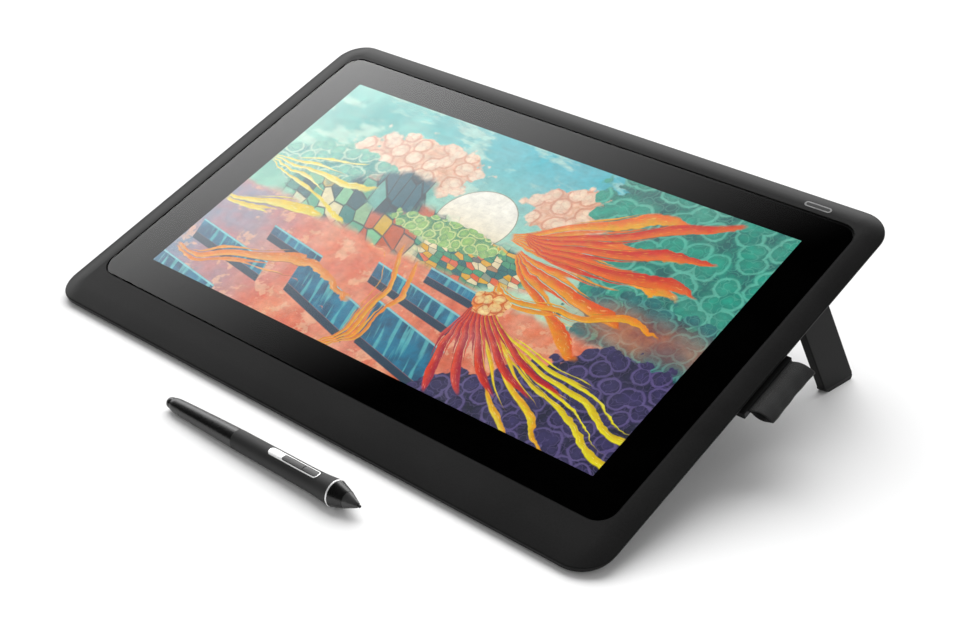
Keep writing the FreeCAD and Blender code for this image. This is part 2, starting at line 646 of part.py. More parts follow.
def well_profile():
    """Hollow that the leg folds into; its outer side is the stop that the open leg leans on."""
    def stop_x(z):
        return HINGE_X + (LEG_SKIN + STOP_GAP - (z - HINGE_Z) * LEAN_SIN) / LEAN_COS
    low = BACK_Z - 1.0
    return [(WELL_X, low), (WELL_X, WELL_ROOF), (HINGE_X - 5.6, WELL_ROOF),
            (HINGE_X - 5.6, HINGE_ROOF), (stop_x(HINGE_ROOF), HINGE_ROOF), (stop_x(low), low)]


def leg_well():
    """Moulded tray in the rear cover, with the bosses that hold the hinge pin."""
    tray = block((WELL_X - 1.8, 188.8), (WELL_Y[0] - 1.8, WELL_Y[1] + 1.8),
                 (BACK_Z, WELL_ROOF + 1.8))
    hinge = block((HINGE_X - 7.4, 188.8), (WELL_Y[0] - 8.2, WELL_Y[1] + 8.2),
                  (BACK_Z + WALL + 0.2, HINGE_ROOF + 1.6))
    body = tray.fuse(hinge)
    body = body.cut(prism(well_profile(), WELL_Y[0], WELL_Y[1] - WELL_Y[0]))
    pin = (HINGE_X, WELL_Y[0] - 7.7, HINGE_Z), (HINGE_X, WELL_Y[1] + 7.7, HINGE_Z)
    return body.cut(rod(PIN_R, *pin))


def hinge_pins():
    pin = rod(PIN_R, (HINGE_X, WELL_Y[0] - 7.7, HINGE_Z), (HINGE_X, WELL_Y[1] + 7.7, HINGE_Z))
    return Part.makeCompound([pin, mirrored(pin)])


def hinge_washers():
    """Friction washers each side of both leg barrels."""
    rings = []
    for low in (WELL_Y[0], WELL_Y[1] - 0.5):
        start, end = (HINGE_X, low, HINGE_Z), (HINGE_X, low + 0.5, HINGE_Z)
        ring = rod(4.4, start, end).cut(rod(PIN_R, start, end))
        rings += [ring, mirrored(ring)]
    return Part.makeCompound(rings)


# ---- spare nibs, in the roof of the left leg's well -----------------------------------------------
def holder_window(grow):
    return block((HOLDER_X[0] - grow, HOLDER_X[1] + grow), (HOLDER_Y[0] - grow, HOLDER_Y[1] + grow),
                 (WELL_ROOF - 0.5, WELL_ROOF + HOLDER_T + 0.8))


def nib_holder():
    """Rubber block with grooves that grip three spare nibs and the pulling ring."""
    body = block(HOLDER_X, HOLDER_Y, (WELL_ROOF, WELL_ROOF + HOLDER_T))
    z = (WELL_ROOF - 1, WELL_ROOF + GROOVE_DEPTH)
    for y in NIB_GROOVES:
        body = body.cut(block((HOLDER_X[0] + 2, HOLDER_X[1] - 2),
                              (y - NIB_R - FIT, y + NIB_R + FIT), z))
    recess = rod(3.9, (*PULLER_AT, z[0]), (*PULLER_AT, z[1]))
    return body.cut(recess.cut(rod(1.5, (*PULLER_AT, z[0]), (*PULLER_AT, z[1] + 0.1))))


def spare_nibs():
    z = WELL_ROOF + GROOVE_DEPTH - NIB_R - FIT
    return Part.makeCompound([nib_rod((HOLDER_X[0] + 3.0, y, z), 25.0) for y in NIB_GROOVES])


def nib_rod(start, length):
    """Nib lying along +x, with a rounded point."""
    end = (start[0] + length, start[1], start[2])
    return rod(NIB_R, start, end).fuse(Part.makeSphere(NIB_R, Vector(*end)))


def nib_puller():
    """Ring with a split eye that grips a worn nib."""
    start, end = (*PULLER_AT, WELL_ROOF + 0.3), (*PULLER_AT, WELL_ROOF + 1.7)
    return rod(3.8, start, end).cut(rod(1.9, start, end))


# ---- pen loop -------------------------------------------------------------------------------------
def clip_slab(y_grow, half_z, x):
    """Flat tongue of the pen loop's clip, pointing out of the side."""
    return block(x, (LOOP_Y[0] + y_grow, LOOP_Y[1] - y_grow), (LOOP_Z - half_z, LOOP_Z + half_z))


def pen_loop_clip():
    """Moulded lip that fits the leaning side, and the tongue behind it that carries the band."""
    lip = clip_slab(0.0, 2.2, (SIDE_X - WALL_IN - 1, SIDE_X + CLIP_LIP))
    edges = [edge for edge in lip.Edges if edge.BoundBox.XLength > 1.0
             or edge.CenterOfMass.x > SIDE_X + CLIP_LIP - 0.1]
    side = cover_outer()
    side.translate(Vector(0.02, 0, 0))
    lip = lip.makeFillet(0.6, edges).cut(side)
    body = lip.fuse(clip_slab(2.3, 1.55, (SIDE_X + CLIP_LIP - CLIP_DEPTH, SIDE_X + 0.5)))
    return body.cut(band_tails(FIT, SIDE_X + 3))


def band_tails(grow, end):
    """The band's two doubled ends: narrow inside the tongue, full width through the lip."""
    z = (LOOP_Z - BAND_T - grow, LOOP_Z + BAND_T + grow)
    narrow = block((SIDE_X - 4.0 - grow, SIDE_X + 0.6), (TAIL_Y[0] - grow, TAIL_Y[1] + grow), z)
    return narrow.fuse(block((SIDE_X + 0.6 - grow, end), (BAND_Y[0] - grow, BAND_Y[1] + grow), z))


def closed_curve(points):
    curve = Part.BSplineCurve()
    curve.interpolate(points, PeriodicFlag=True)
    return curve


def inner_curve(curve, distance):
    """Closed curve a constant distance inside another one, in a plane across y."""
    count = 28
    first, last = curve.FirstParameter, curve.LastParameter
    middle = curve.toShape().CenterOfMass
    points = []
    for i in range(count):
        at = first + (last - first) * i / count
        side = curve.tangent(at)[0].cross(Vector(0, 1, 0)).normalize()
        point = curve.value(at)
        if side.dot(middle - point) < 0:
            side = side * -1
        points.append(point + side * distance)
    return closed_curve(points)


def pen_loop_band():
    """Woven band: its two ends lie in the clip, and it stands out as a flattened open loop."""
    start, tip = SIDE_X + 2.4, SIDE_X + LOOP_REACH
    middle, half = LOOP_Z - 0.8, LOOP_H / 2
    outline = [(start, LOOP_Z - 0.1), (start + 2.4, middle + 0.68 * half),
               (start + 6.6, middle + half), (start + 10.8, middle + 0.76 * half),
               (tip, middle), (start + 10.8, middle - 0.76 * half),
               (start + 6.6, middle - half), (start + 2.4, middle - 0.68 * half)]
    outer = closed_curve([Vector(x, BAND_Y[0], z) for x, z in outline])
    inner = inner_curve(outer, BAND_T)
    along = Vector(0, BAND_Y[1] - BAND_Y[0], 0)
    body, hole = [Part.Face(Part.Wire(curve.toShape())).extrude(along) for curve in (outer, inner)]
    return body.fuse(band_tails(0.0, start + 0.6)).cut(hole)


def loop_socket():
    """Pocket inside the side wall that the clip pushes into."""
    end = SIDE_X - WALL - WALL_IN
    outer = block((SIDE_X - SOCKET_END - 1.6, end), (LOOP_Y[0] - 0.4, LOOP_Y[1] + 0.4),
                  (LOOP_Z - 2.5, LOOP_Z + 1.9))
    return outer.cut(clip_slab(2.0, 1.7, (SIDE_X - SOCKET_END, SIDE_X)))


# ---- fasteners ---------------------------------------------------------------------------------------
def screw(x, y, seat, reach):
    """Pan-head screw driven upward: its head under the seat, its thread reaching above it."""
    head = rod(HEAD_R, (x, y, seat - HEAD_T), (x, y, seat))
    head = head.makeFillet(0.5, [edge for edge in head.Edges
                                 if edge.BoundBox.ZMax < seat - HEAD_T + 0.1])
    body = head.fuse(rod(SCREW_R, (x, y, seat), (x, y, reach)))
    for turn in (0, 90):
        slot = block((x - 1.3, x + 1.3), (y - 0.35, y + 0.35), (seat - HEAD_T - 1, seat - 0.7))
        slot.rotate(Vector(x, y, 0), UP, turn)
        body = body.cut(slot)
    return body


def screws(spots, seat, reach):
    return Part.makeCompound([screw(x, y, seat, reach) for x, y in spots])


# ---- pen -------------------------------------------------------------------------------------------
def turned(points):
    """Solid of revolution about the pen's axis, from (along, radius) points, as a smooth body."""
    curve = Part.BSplineCurve()
    curve.interpolate([Vector(s, 0, r) for s, r in points])
    return close_turned(curve.toShape(), points)


def close_turned(edge, points):
    first, last = points[0], points[-1]
    rim = [edge, Part.makeLine(Vector(last[0], 0, last[1]), Vector(last[0], 0, 0)),
           Part.makeLine(Vector(last[0], 0, 0), Vector(first[0], 0, 0)),
           Part.makeLine(Vector(first[0], 0, 0), Vector(first[0], 0, first[1]))]
    return Part.Face(Part.Wire(rim)).revolve(Vector(0, 0, 0), Vector(1, 0, 0), 360)


def stepped(points):
    """Solid of revolution about the pen's axis with straight flanks."""
    outline = [Vector(points[0][0], 0, 0)] + [Vector(s, 0, r) for s, r in points]
    outline += [Vector(points[-1][0], 0, 0), Vector(points[0][0], 0, 0)]
    return Part.Face(Part.makePolygon(outline)).revolve(Vector(0, 0, 0), Vector(1, 0, 0), 360)


def grown(profile, amount):
    return [(s, r + amount) for s, r in profile]


def along_pen(radius, start, end):
    return rod(radius, (start, 0, 0), (end, 0, 0))


def switch_opening(margin):
    """Prism through the pen's upper side that the switch and its frame fill."""
    x = (SWITCH_S[0] - margin, SWITCH_S[1] + margin)
    half = SWITCH_W / 2 + margin
    return slab(x, (-half, half), half - 0.4, (PIVOT[1] - 0.4, 12.0))


def rocker_opening(margin):
    x = (ROCKER_S[0] - margin, ROCKER_S[1] + margin)
    half = ROCKER_W / 2 + margin
    return slab(x, (-half, half), half - 0.7, (-1.0, 12.0))


def pen_barrel():
    """Glossy rear barrel, and the thin sleeve that runs on under the grip."""
    edge = Part.Arc(Vector(5.0, 0, 3.75), Vector(6.3, 0, 4.05), Vector(8.5, 0, 4.25)).toShape()
    tail = close_turned(edge, [(5.0, 3.75), (8.5, 4.25)])
    body = tail.fuse(turned(BARREL_PROFILE))
    body = body.fuse(along_pen(SLEEVE_R, SEAM_S, SLEEVE_END))
    body = body.cut(along_pen(3.42, 0, 7.4)).cut(along_pen(2.7, 7.0, 12.5))
    body = body.cut(along_pen(BORE_R, 12.0, 128.0))
    return body.cut(rocker_opening(0.6))


def pen_grip():
    """Soft grip over the front half of the pen, flared toward the point."""
    body = turned(GRIP_PROFILE).cut(along_pen(SLEEVE_R, 50.0, SLEEVE_END))
    body = body.cut(along_pen(BORE_R + 0.9, 126.0, 140.0))
    return body.cut(switch_opening(0.0)).cut(rocker_opening(0.6))


def pen_switch_frame():
    """Silver surround of the side switch, with a solid plate behind the rocker."""
    skin = turned(grown(GRIP_PROFILE, 0.14)).common(switch_opening(-FIT))
    return skin.cut(along_pen(SLEEVE_R + FIT, 50.0, 130.0)).cut(rocker_opening(0.0))


def pen_switch():
    """Two-way rocker, with a groove between its long and short halves."""
    x = (ROCKER_S[0] + 0.3, ROCKER_S[1] - 0.3)
    half = ROCKER_W / 2 - 0.3
    blank = slab(x, (-half, half), half - 0.7, (SLEEVE_R - 0.5, 12.0))
    cap = turned(grown(GRIP_PROFILE, 0.30)).common(blank)
    cap = cap.cut(block((ROCKER_SPLIT - 0.25, ROCKER_SPLIT + 0.25), (-3, 3), (5.9, 12.0)))
    lug = block((PIVOT[0] - 1.4, PIVOT[0] + 1.4), (-1.3, 1.3), (PIVOT[1], SLEEVE_R - 0.3))
    lug = lug.fuse(rod(1.4, (PIVOT[0], -1.3, PIVOT[1]), (PIVOT[0], 1.3, PIVOT[1])))
    body = cap.fuse(lug)
    return body.cut(rod(0.5 + RUNNING, (PIVOT[0], -3, PIVOT[1]), (PIVOT[0], 3, PIVOT[1])))


def pen_switch_pin():
    return rod(0.5, (PIVOT[0], -2.1, PIVOT[1]), (PIVOT[0], 2.1, PIVOT[1]))


def pen_inner_frame():
    """Trough that carries the board, with two ears for the rocker's pin."""
    start, end = 23.0, PIVOT[0] + 2.6
    trough = along_pen(BORE_R - FIT, start, end)
    trough = trough.cut(block((start - 1, end + 1), (-5, 5), (-0.6, 5)))
    trough = trough.cut(along_pen(2.7, start + 1.5, end - 1.0))
    ears = [block((PIVOT[0] - 1.5, PIVOT[0] + 1.5), y, (-2.6, PIVOT[1] + 0.9))
            for y in ((-2.1, -1.5), (1.5, 2.1))]
    body = trough.fuse(ears)
    return body.cut(rod(0.5, (PIVOT[0], -4, PIVOT[1]), (PIVOT[0], 4, PIVOT[1])))


def pen_board():
    """Narrow circuit board, with the switch under the rocker's rear half."""
    board = block((25.0, PIVOT[0] - 1.9), (-2.6, 2.6), (-0.55, 0.25))
    parts = [block((x - w / 2, x + w / 2), (-1.5, 1.5), (0.25, 0.25 + h))
             for x, w, h in ((36.0, 5.0, 1.0), (48.0, 4.0, 0.8), (60.0, 6.0, 1.2),
                             (72.0, 3.0, 0.9), (99.4, 3.4, 2.2))]
    return board.fuse(parts)


def pen_coil():
    """Ferrite tube and its winding, round the nib."""
    core = along_pen(2.0, 119.6, 138.0)
    winding = along_pen(2.9, 121.0, 134.5)
    return core.fuse(winding).cut(along_pen(NIB_R + 0.25, 118.0, 139.0))


def pen_sensor():
    """Pressure sensor that the nib's tail pushes on."""
    return along_pen(3.3, PIVOT[0] + 3.2, 119.3).cut(along_pen(NIB_R + 0.08, 115.0, 120.0))


def pen_nib():
    return nib_rod((115.9, 0.0, 0.0), PEN_LENGTH - NIB_R - 115.9)


def pen_ring():
    ring = stepped([(RING_S[0], 7.30), (RING_S[0] + 0.3, 7.44), (RING_S[1] - 0.3, 7.44),
                    (RING_S[1], 7.28)])
    return ring.cut(along_pen(BORE_R + 0.95, 130, 134))


def pen_nose_cone():
    """Dark cone that screws into the sleeve and clamps the ring."""
    cone = stepped([(CONE_S[0], CONE_R[0]), (CONE_S[1], CONE_R[1])])
    spigot = along_pen(BORE_R + 0.85, 127.1, CONE_S[0])
    bore = along_pen(3.0, 120.0, 135.2).fuse(along_pen(2.1, 135.0, 138.6))
    return cone.fuse(spigot).cut(bore).cut(along_pen(1.5, 135, 145))


def pen_nose_tip():
    """Paler end of the cone that guides the nib."""
    tip = stepped([(CONE_S[1] + 0.15, CONE_R[1] - 0.12), (CONE_S[2] - 1.2, CONE_R[2] + 0.55),
                   (CONE_S[2] - 0.3, CONE_R[2] + 0.1), (CONE_S[2], CONE_R[2] - 0.3)])
    neck = along_pen(1.45, 138.8, CONE_S[1] + 0.5)
    return tip.fuse(neck).cut(along_pen(NIB_R + RUNNING, 130, 155))


def pen_eraser():
    """Rounded end key; its stem reaches the rear sensor."""
    dome = Part.Arc(Vector(0.0, 0, 0.6), Vector(0.95, 0, 2.35), Vector(3.4, 0, 3.3)).toShape()
    head = close_turned(dome, [(0.0, 0.6), (3.4, 3.3)]).fuse(along_pen(3.3, 3.4, 6.3))
    return head.fuse(along_pen(2.64, 6.0, 15.2))


def pen_eraser_sensor():
    return along_pen(3.4, 16.0, 22.5)


# ---- places ----------------------------------------------------------------------------------------
def pen_rest():
    """Height of the axis at the pen's tail and its slope, lying on the desk on its flare."""
    flare_s, flare_r = GRIP_PROFILE[-1]
    slope = min((flare_r - r) / (flare_s - s) for s, r in BARREL_PROFILE + GRIP_PROFILE[1:-1])
    return flare_r + 0.1 - slope * flare_s, slope


X_SHIFT = -(LOOP_REACH + 0.03) / 2
PEN_FRONT = PEN_TIP[1] - GRIP_PROFILE[-1][1]
REAR_REACH = REAR_Y * COS - PART_Z * SIN
Y_SHIFT = -(PEN_FRONT + REAR_REACH) / 2


def tablet_place():
    """From the tablet frame to the desk frame."""
    return Placement(Vector(X_SHIFT, Y_SHIFT, -DESK), Rotation(Vector(1, 0, 0), TILT))


def pen_place():
    """From the pen frame to the desk frame."""
    height, slope = pen_rest()
    tail = Vector(PEN_TAIL[0] + X_SHIFT, PEN_TAIL[1] + Y_SHIFT, height)
    heading = Vector(PEN_TIP[0] - PEN_TAIL[0], PEN_TIP[1] - PEN_TAIL[1], 0)
    yaw = math.degrees(math.atan2(heading.y, heading.x))
    pitch = -math.degrees(math.atan(slope))
    turn = Rotation(UP, yaw).multiply(Rotation(Vector(0, 1, 0), pitch))
    return Placement(tail, turn.multiply(Rotation(Vector(1, 0, 0), PEN_ROLL)))


def left_well():
    return mirrored(leg_well()).cut(holder_window(FIT))


TABLET_NODES = {
    "front_bezel": front_bezel,
    "rear_cover": rear_cover,
    "cover_glass": cover_glass,
    "glass_tape": glass_tape,
    "border_mask": border_mask,
    "lcd_panel": lambda: layer((LCD_Z, MASK_Z)),
    "diffuser_sheets": lambda: layer((DIFFUSER_Z, LCD_Z)),
    "light_guide": light_guide,
    "led_strip": led_strip,
    "reflector_sheet": lambda: layer((REFLECTOR_Z, GUIDE_Z)),
    "panel_frame": panel_frame,
    "digitizer_board": lambda: layer((DIGITIZER_Z, REFLECTOR_Z)),
    "shield_plate": shield_plate,
    "digitizer_cable": digitizer_cable,
    "chassis_plate": chassis_plate,
    "main_board": main_board,
    "board_chips": board_chips,
    "board_shield": board_shield,
    "board_connectors": board_connectors,
    "cable_socket": cable_socket,
    "cable_bay": cable_bay,
    "lock_plate": lock_plate,
    "power_button": power_button,
    "power_button_ring": power_button_ring,
    "button_board": button_board,
    "button_dome": button_dome,
    "front_feet": lambda: Part.makeCompound(front_feet().Solids),
    "back_feet": back_feet,
    "left_leg": lambda: mirrored(leg()),
    "right_leg": leg,
    "left_leg_foot": lambda: mirrored(leg_foot()),
    "right_leg_foot": leg_foot,
    "left_leg_well": left_well,
    "right_leg_well": leg_well,
    "hinge_pins": hinge_pins,
    "hinge_washers": hinge_washers,
    "nib_holder": nib_holder,
    "spare_nibs": spare_nibs,
    "nib_puller": nib_puller,
    "pen_loop_clip": pen_loop_clip,
    "pen_loop_band": pen_loop_band,
    "loop_socket": loop_socket,
    "case_screws": lambda: screws(CASE_SPOTS, BOSS_Z - SCREW_SEAT, BOSS_Z + 4.6),
    "chassis_screws": lambda: screws(CHASSIS_SPOTS, CHASSIS_Z, SHIELD_Z + 3.0),
    "board_screws": lambda: screws(BOARD_SPOTS, BOARD_Z, BOARD_TOP + 2.0),
}

PEN_NODES = {
    "pen_barrel": pen_barrel,
    "pen_grip": pen_grip,
    "pen_ring": pen_ring,
    "pen_nose_cone": pen_nose_cone,
    "pen_nose_tip": pen_nose_tip,
    "pen_nib": pen_nib,
    "pen_eraser": pen_eraser,
    "pen_eraser_sensor": pen_eraser_sensor,
    "pen_switch_frame": pen_switch_frame,
    "pen_switch": pen_switch,
    "pen_switch_pin": pen_switch_pin,
    "pen_inner_frame": pen_inner_frame,
    "pen_board": pen_board,
    "pen_coil": pen_coil,
    "pen_sensor": pen_sensor,
}

os.makedirs("parts", exist_ok=True)
for nodes, place in ((TABLET_NODES, tablet_place()), (PEN_NODES, pen_place())):
    for name, make in nodes.items():
        shape = make()
        if not shape.isValid():
            print("invalid solid:", name)
        shape.Placement = place.multiply(shape.Placement)
        shape.exportStep("parts/" + name + ".step")
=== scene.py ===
import math

import bpy
from mathutils import Matrix, Vector


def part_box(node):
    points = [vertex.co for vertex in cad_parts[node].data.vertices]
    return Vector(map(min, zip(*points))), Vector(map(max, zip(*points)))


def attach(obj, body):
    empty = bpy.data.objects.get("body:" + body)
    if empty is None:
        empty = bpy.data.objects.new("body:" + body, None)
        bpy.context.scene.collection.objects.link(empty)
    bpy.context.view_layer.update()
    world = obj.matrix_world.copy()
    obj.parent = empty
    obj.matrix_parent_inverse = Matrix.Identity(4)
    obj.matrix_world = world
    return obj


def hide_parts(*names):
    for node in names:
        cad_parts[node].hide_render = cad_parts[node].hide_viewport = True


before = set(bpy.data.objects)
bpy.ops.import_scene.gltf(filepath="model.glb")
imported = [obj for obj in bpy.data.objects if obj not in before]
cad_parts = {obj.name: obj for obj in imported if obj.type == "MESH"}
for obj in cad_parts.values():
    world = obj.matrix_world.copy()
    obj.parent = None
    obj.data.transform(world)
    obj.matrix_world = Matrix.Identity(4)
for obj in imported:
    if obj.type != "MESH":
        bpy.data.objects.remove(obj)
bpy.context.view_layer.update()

# Pen drawing tablet on its two stand legs, with its pen on the floor in front of it.  Metres, in
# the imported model's frame: +z up, +x to the tablet's right, the screen facing up and toward -y.
# Shapes on the tablet are given in the tablet's own frame in millimetres: x to the right, y up the
# screen, z out of the glass, zero at the picture's centre on the glass.

MM = 0.001
TILT = math.radians(19.64)                  # slope of the screen
GLASS_MIDDLE = Vector((0.0, -0.8, -0.65))   # middle of the cover glass, tablet frame
PICTURE_H = 193.6                           # height of the lit picture
SIDE_X = 210.5                              # right side of the housing, tablet frame


def middle(node):
    low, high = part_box(node)
    return (Vector(low) + Vector(high)) / 2


TABLET = (Matrix.Translation(middle("cover_glass")) @ Matrix.Rotation(TILT, 4, "X")
          @ Matrix.Scale(MM, 4) @ Matrix.Translation(-GLASS_MIDDLE))


# ---- camera -------------------------------------------------------------------------------------
CAMERA_AT = Vector((0.55169, -0.60380, 0.47743))
CAMERA_TO = Vector((0.04189, -0.00975, 0.04163))
CAMERA_ROLL = math.radians(1.344)
LENS = 60.41                                # millimetres
SENSOR_W = 36.0


def add_camera():
    data = bpy.data.cameras.new("camera")
    data.lens = LENS
    data.sensor_width = SENSOR_W
    camera = bpy.data.objects.new("camera", data)
    turn = (CAMERA_TO - CAMERA_AT).to_track_quat("-Z", "Y").to_matrix().to_4x4()
    roll = Matrix.Rotation(CAMERA_ROLL, 4, "Z")
    camera.matrix_world = Matrix.Translation(CAMERA_AT) @ turn @ roll
    bpy.context.scene.collection.objects.link(camera)
    bpy.context.scene.camera = camera


# ---- node trees as formulas ---------------------------------------------------------------------
class Wire:
    """The output of a node; arithmetic on it adds the Math nodes that work it out."""

    def __init__(self, tree, socket):
        self.tree = tree
        self.socket = socket

    def __add__(self, other):
        return maths(self.tree, "ADD", self, other)

    def __radd__(self, other):
        return maths(self.tree, "ADD", other, self)

    def __sub__(self, other):
        return maths(self.tree, "SUBTRACT", self, other)

    def __rsub__(self, other):
        return maths(self.tree, "SUBTRACT", other, self)

    def __mul__(self, other):
        return maths(self.tree, "MULTIPLY", self, other)

    def __rmul__(self, other):
        return maths(self.tree, "MULTIPLY", other, self)

    def __truediv__(self, other):
        return maths(self.tree, "DIVIDE", self, other)

    def __abs__(self):
        return maths(self.tree, "ABSOLUTE", self)


def feed(tree, socket, value):
    if isinstance(value, Wire):
        tree.links.new(value.socket, socket)
    else:
        socket.default_value = value


def node(tree, kind, inputs=None, out=0, **settings):
    made = tree.nodes.new("ShaderNode" + kind)
    for key, value in settings.items():
        setattr(made, key, value)
    for key, value in (inputs or {}).items():
        feed(tree, made.inputs[key], value)
    return Wire(tree, made.outputs[out])


def maths(tree, operation, *values):
    return node(tree, "Math", dict(enumerate(values)), operation=operation)


def least(a, b):
    return maths(a.tree, "MINIMUM", a, b)


def most(a, b):
    return maths(a.tree, "MAXIMUM", a, b)


def wave(a):
    return maths(a.tree, "SINE", a)


def step(low, high, a):
    """0 below low, 1 above high, smooth between; with low above high it falls instead."""
    if low > high:
        return 1.0 - step(high, low, a)
    return node(a.tree, "MapRange", {0: a, 1: low, 2: high}, interpolation_type="SMOOTHSTEP")


def vector(x, y):
    return node(x.tree, "CombineXYZ", {0: x, 1: y, 2: 0.0})


def noise(place, scale, detail=2.0, rough=0.5, bend=0.0, space="3D"):
    return node(place.tree, "TexNoise", {"Vector": place, "Scale": scale, "Detail": detail,
                                         "Roughness": rough, "Distortion": bend},
                noise_dimensions=space)


def cells(place, scale, out=0, feature="F1", random=1.0, space="3D"):
    return node(place.tree, "TexVoronoi", {"Vector": place, "Scale": scale, "Randomness": random},
                out=out, feature=feature, voronoi_dimensions=space)


def blend(share, a, b):
    """Colour a where share is 0, and b where it is 1."""
    return node(share.tree, "Mix", {0: share, 6: a, 7: b}, out=2, data_type="RGBA")


def rgb(code, strength=1.0):
    """Linear colour of a six-digit code."""
    parts = [int(code[i:i + 2], 16) / 255 for i in (0, 2, 4)]
    parts = [c / 12.92 if c <= 0.04045 else ((c + 0.055) / 1.055) ** 2.4 for c in parts]
    return tuple(strength * c for c in parts) + (1.0,)


def grey(level):
    return (level, level, level, 1.0)


# ---- materials ----------------------------------------------------------------------------------
def new_material(name):
    made = bpy.data.materials.new(name)
    made.use_nodes = True
    tree = made.node_tree
    shader = tree.nodes["Principled BSDF"]
    place = node(tree, "TexCoord", out=3)
    return made, tree, shader, place


def set_shader(tree, shader, **values):
    for key, value in values.items():
        feed(tree, shader.inputs[key.replace("_", " ").title().replace("Ior", "IOR")], value)


def add_relief(tree, shader, height, size):
    """Bump of the given height field, size metres from its low to its high."""
    bump = node(tree, "Bump", {"Height": height, "Distance": size, "Strength": 1.0})
    feed(tree, shader.inputs["Normal"], bump)


SPECKLE = 0.15              # share of the fine grain in a plain finish's colour


def surface(name, dark, pale, rough, patch=40.0, grain=2500.0, relief=0.00002, **more):
    """A plain finish: colour and roughness drift in patches, with a fine grain over both."""
    made, tree, shader, place = new_material(name)
    drift = noise(place, patch, 3.0)
    fine = noise(place, grain, 2.0, 0.6)
    share = drift * (1.0 - SPECKLE) + fine * SPECKLE
    set_shader(tree, shader, base_color=blend(step(0.3, 0.7, share), dark, pale),
               roughness=drift * (rough[1] - rough[0]) + rough[0], **more)
    add_relief(tree, shader, fine, relief)
    return made


def moulded(name, dark, pale, rough, pit=1100.0, relief=0.00003, **more):
    """Spark-eroded plastic: shallow pits, tiny raised grains and faint flow patches."""
    made, tree, shader, place = new_material(name)
    flow = noise(place, 14.0, 3.0, 0.55, 0.3)
    pits = noise(place, pit, 3.0, 0.65)
    grains = cells(place, pit * 1.9)
    height = pits * 0.7 + step(0.1, 0.6, grains) * 0.3
    share = flow * 0.55 + pits * 0.45
    set_shader(tree, shader, base_color=blend(step(0.35, 0.68, share), dark, pale),
               roughness=rough[0] + (rough[1] - rough[0]) * (flow * 0.4 + pits * 0.6), **more)
    add_relief(tree, shader, height, relief)
    return made


ROLLING = (20.0, 2600.0, 2600.0)    # rolling lines are long in x and close in y and z


def brushed(name, dark, pale, rough):
    """Sheet metal with fine rolling lines along x and a few faint scuffs."""
    made, tree, shader, place = new_material(name)
    lines = noise(node(tree, "Mapping", {"Vector": place, "Scale": ROLLING}), 1.0, 3.0, 0.6)
    cloud = noise(place, 55.0, 4.0, 0.6, 0.4)
    share = step(0.3, 0.7, cloud * 0.6 + lines * 0.4)
    set_shader(tree, shader, base_color=blend(share, dark, pale),
               roughness=rough[0] + (rough[1] - rough[0]) * (lines * 0.6 + cloud * 0.4),
               metallic=1.0)
    add_relief(tree, shader, lines, 0.000008)
    return made


def circuit_board():
    """Solder mask over copper runs, with bare pads."""
    made, tree, shader, place = new_material("board_mask")
    runs = step(0.42, 0.47, cells(place, 320.0, feature="DISTANCE_TO_EDGE", random=0.35) * 9.0)
    pads = step(0.12, 0.08, cells(place, 300.0, random=0.25))
    drift = noise(place, 90.0, 2.0)
    mask = blend(runs, rgb("0E3B2A"), rgb("14573A"))
    mask = blend(drift * 0.35, mask, rgb("0A2A22"))
    set_shader(tree, shader, base_color=blend(pads, mask, rgb("C9B27A")), metallic=pads * 0.9,
               roughness=0.34 + 0.2 * drift)
    add_relief(tree, shader, runs * 0.6 + pads, 0.00004)
    return made


TRACKS = 6283.0             # radians per metre: one track to a millimetre
TURNS = 20944.0             # radians per metre: one turn to 0.3 mm


def flat_cable():
    """Polyester ribbon over close copper tracks."""
    made, tree, shader, place = new_material("ribbon_cable")
    across = node(tree, "SeparateXYZ", {0: place})
    tracks = step(-0.3, 0.3, wave(across * TRACKS))
    drift = noise(place, 120.0, 2.0)
    set_shader(tree, shader, base_color=blend(tracks, rgb("8A5A22"), rgb("C98E3E")),
               roughness=0.25 + 0.2 * drift, coat_weight=0.4)
    add_relief(tree, shader, tracks, 0.00003)
    return made


def copper_coil():
    """Enamelled wire wound round the pen's axis, which lies close to x."""
    made, tree, shader, place = new_material("coil_wire")
    across = node(tree, "SeparateXYZ", {0: place})
    turns = wave(across * TURNS)
    drift = noise(place, 260.0, 2.0)
    set_shader(tree, shader, base_color=blend(drift, rgb("8E3F16"), rgb("C8702F")), metallic=0.9,
               roughness=0.25 + 0.15 * drift, coat_weight=0.5)
    add_relief(tree, shader, turns, 0.00008)
    return made


def cover_glass():
    """Clear glass whose outer faces mirror the room; the print is seen through it."""
    made, tree, shader, place = new_material("clear_glass")
    tree.nodes.remove(shader)
    smear = noise(place, 30.0, 4.0, 0.6, 0.5)
    mirror = node(tree, "Fresnel", {"IOR": 1.5})
    outside = 1.0 - node(tree, "NewGeometry", out=6)
    clear = node(tree, "BsdfTransparent", {"Color": (0.985, 0.992, 0.99, 1.0)})
    gloss = node(tree, "BsdfGlossy", {"Color": grey(1.0), "Roughness": 0.015 + 0.02 * smear})
    both = node(tree, "MixShader", {0: mirror * outside, 1: clear, 2: gloss})
    feed(tree, tree.nodes["Material Output"].inputs["Surface"], both)
    return made


WARP_PITCH, WEFT_PITCH = 0.42, 0.33     # half waves of the webbing's yarns, millimetres


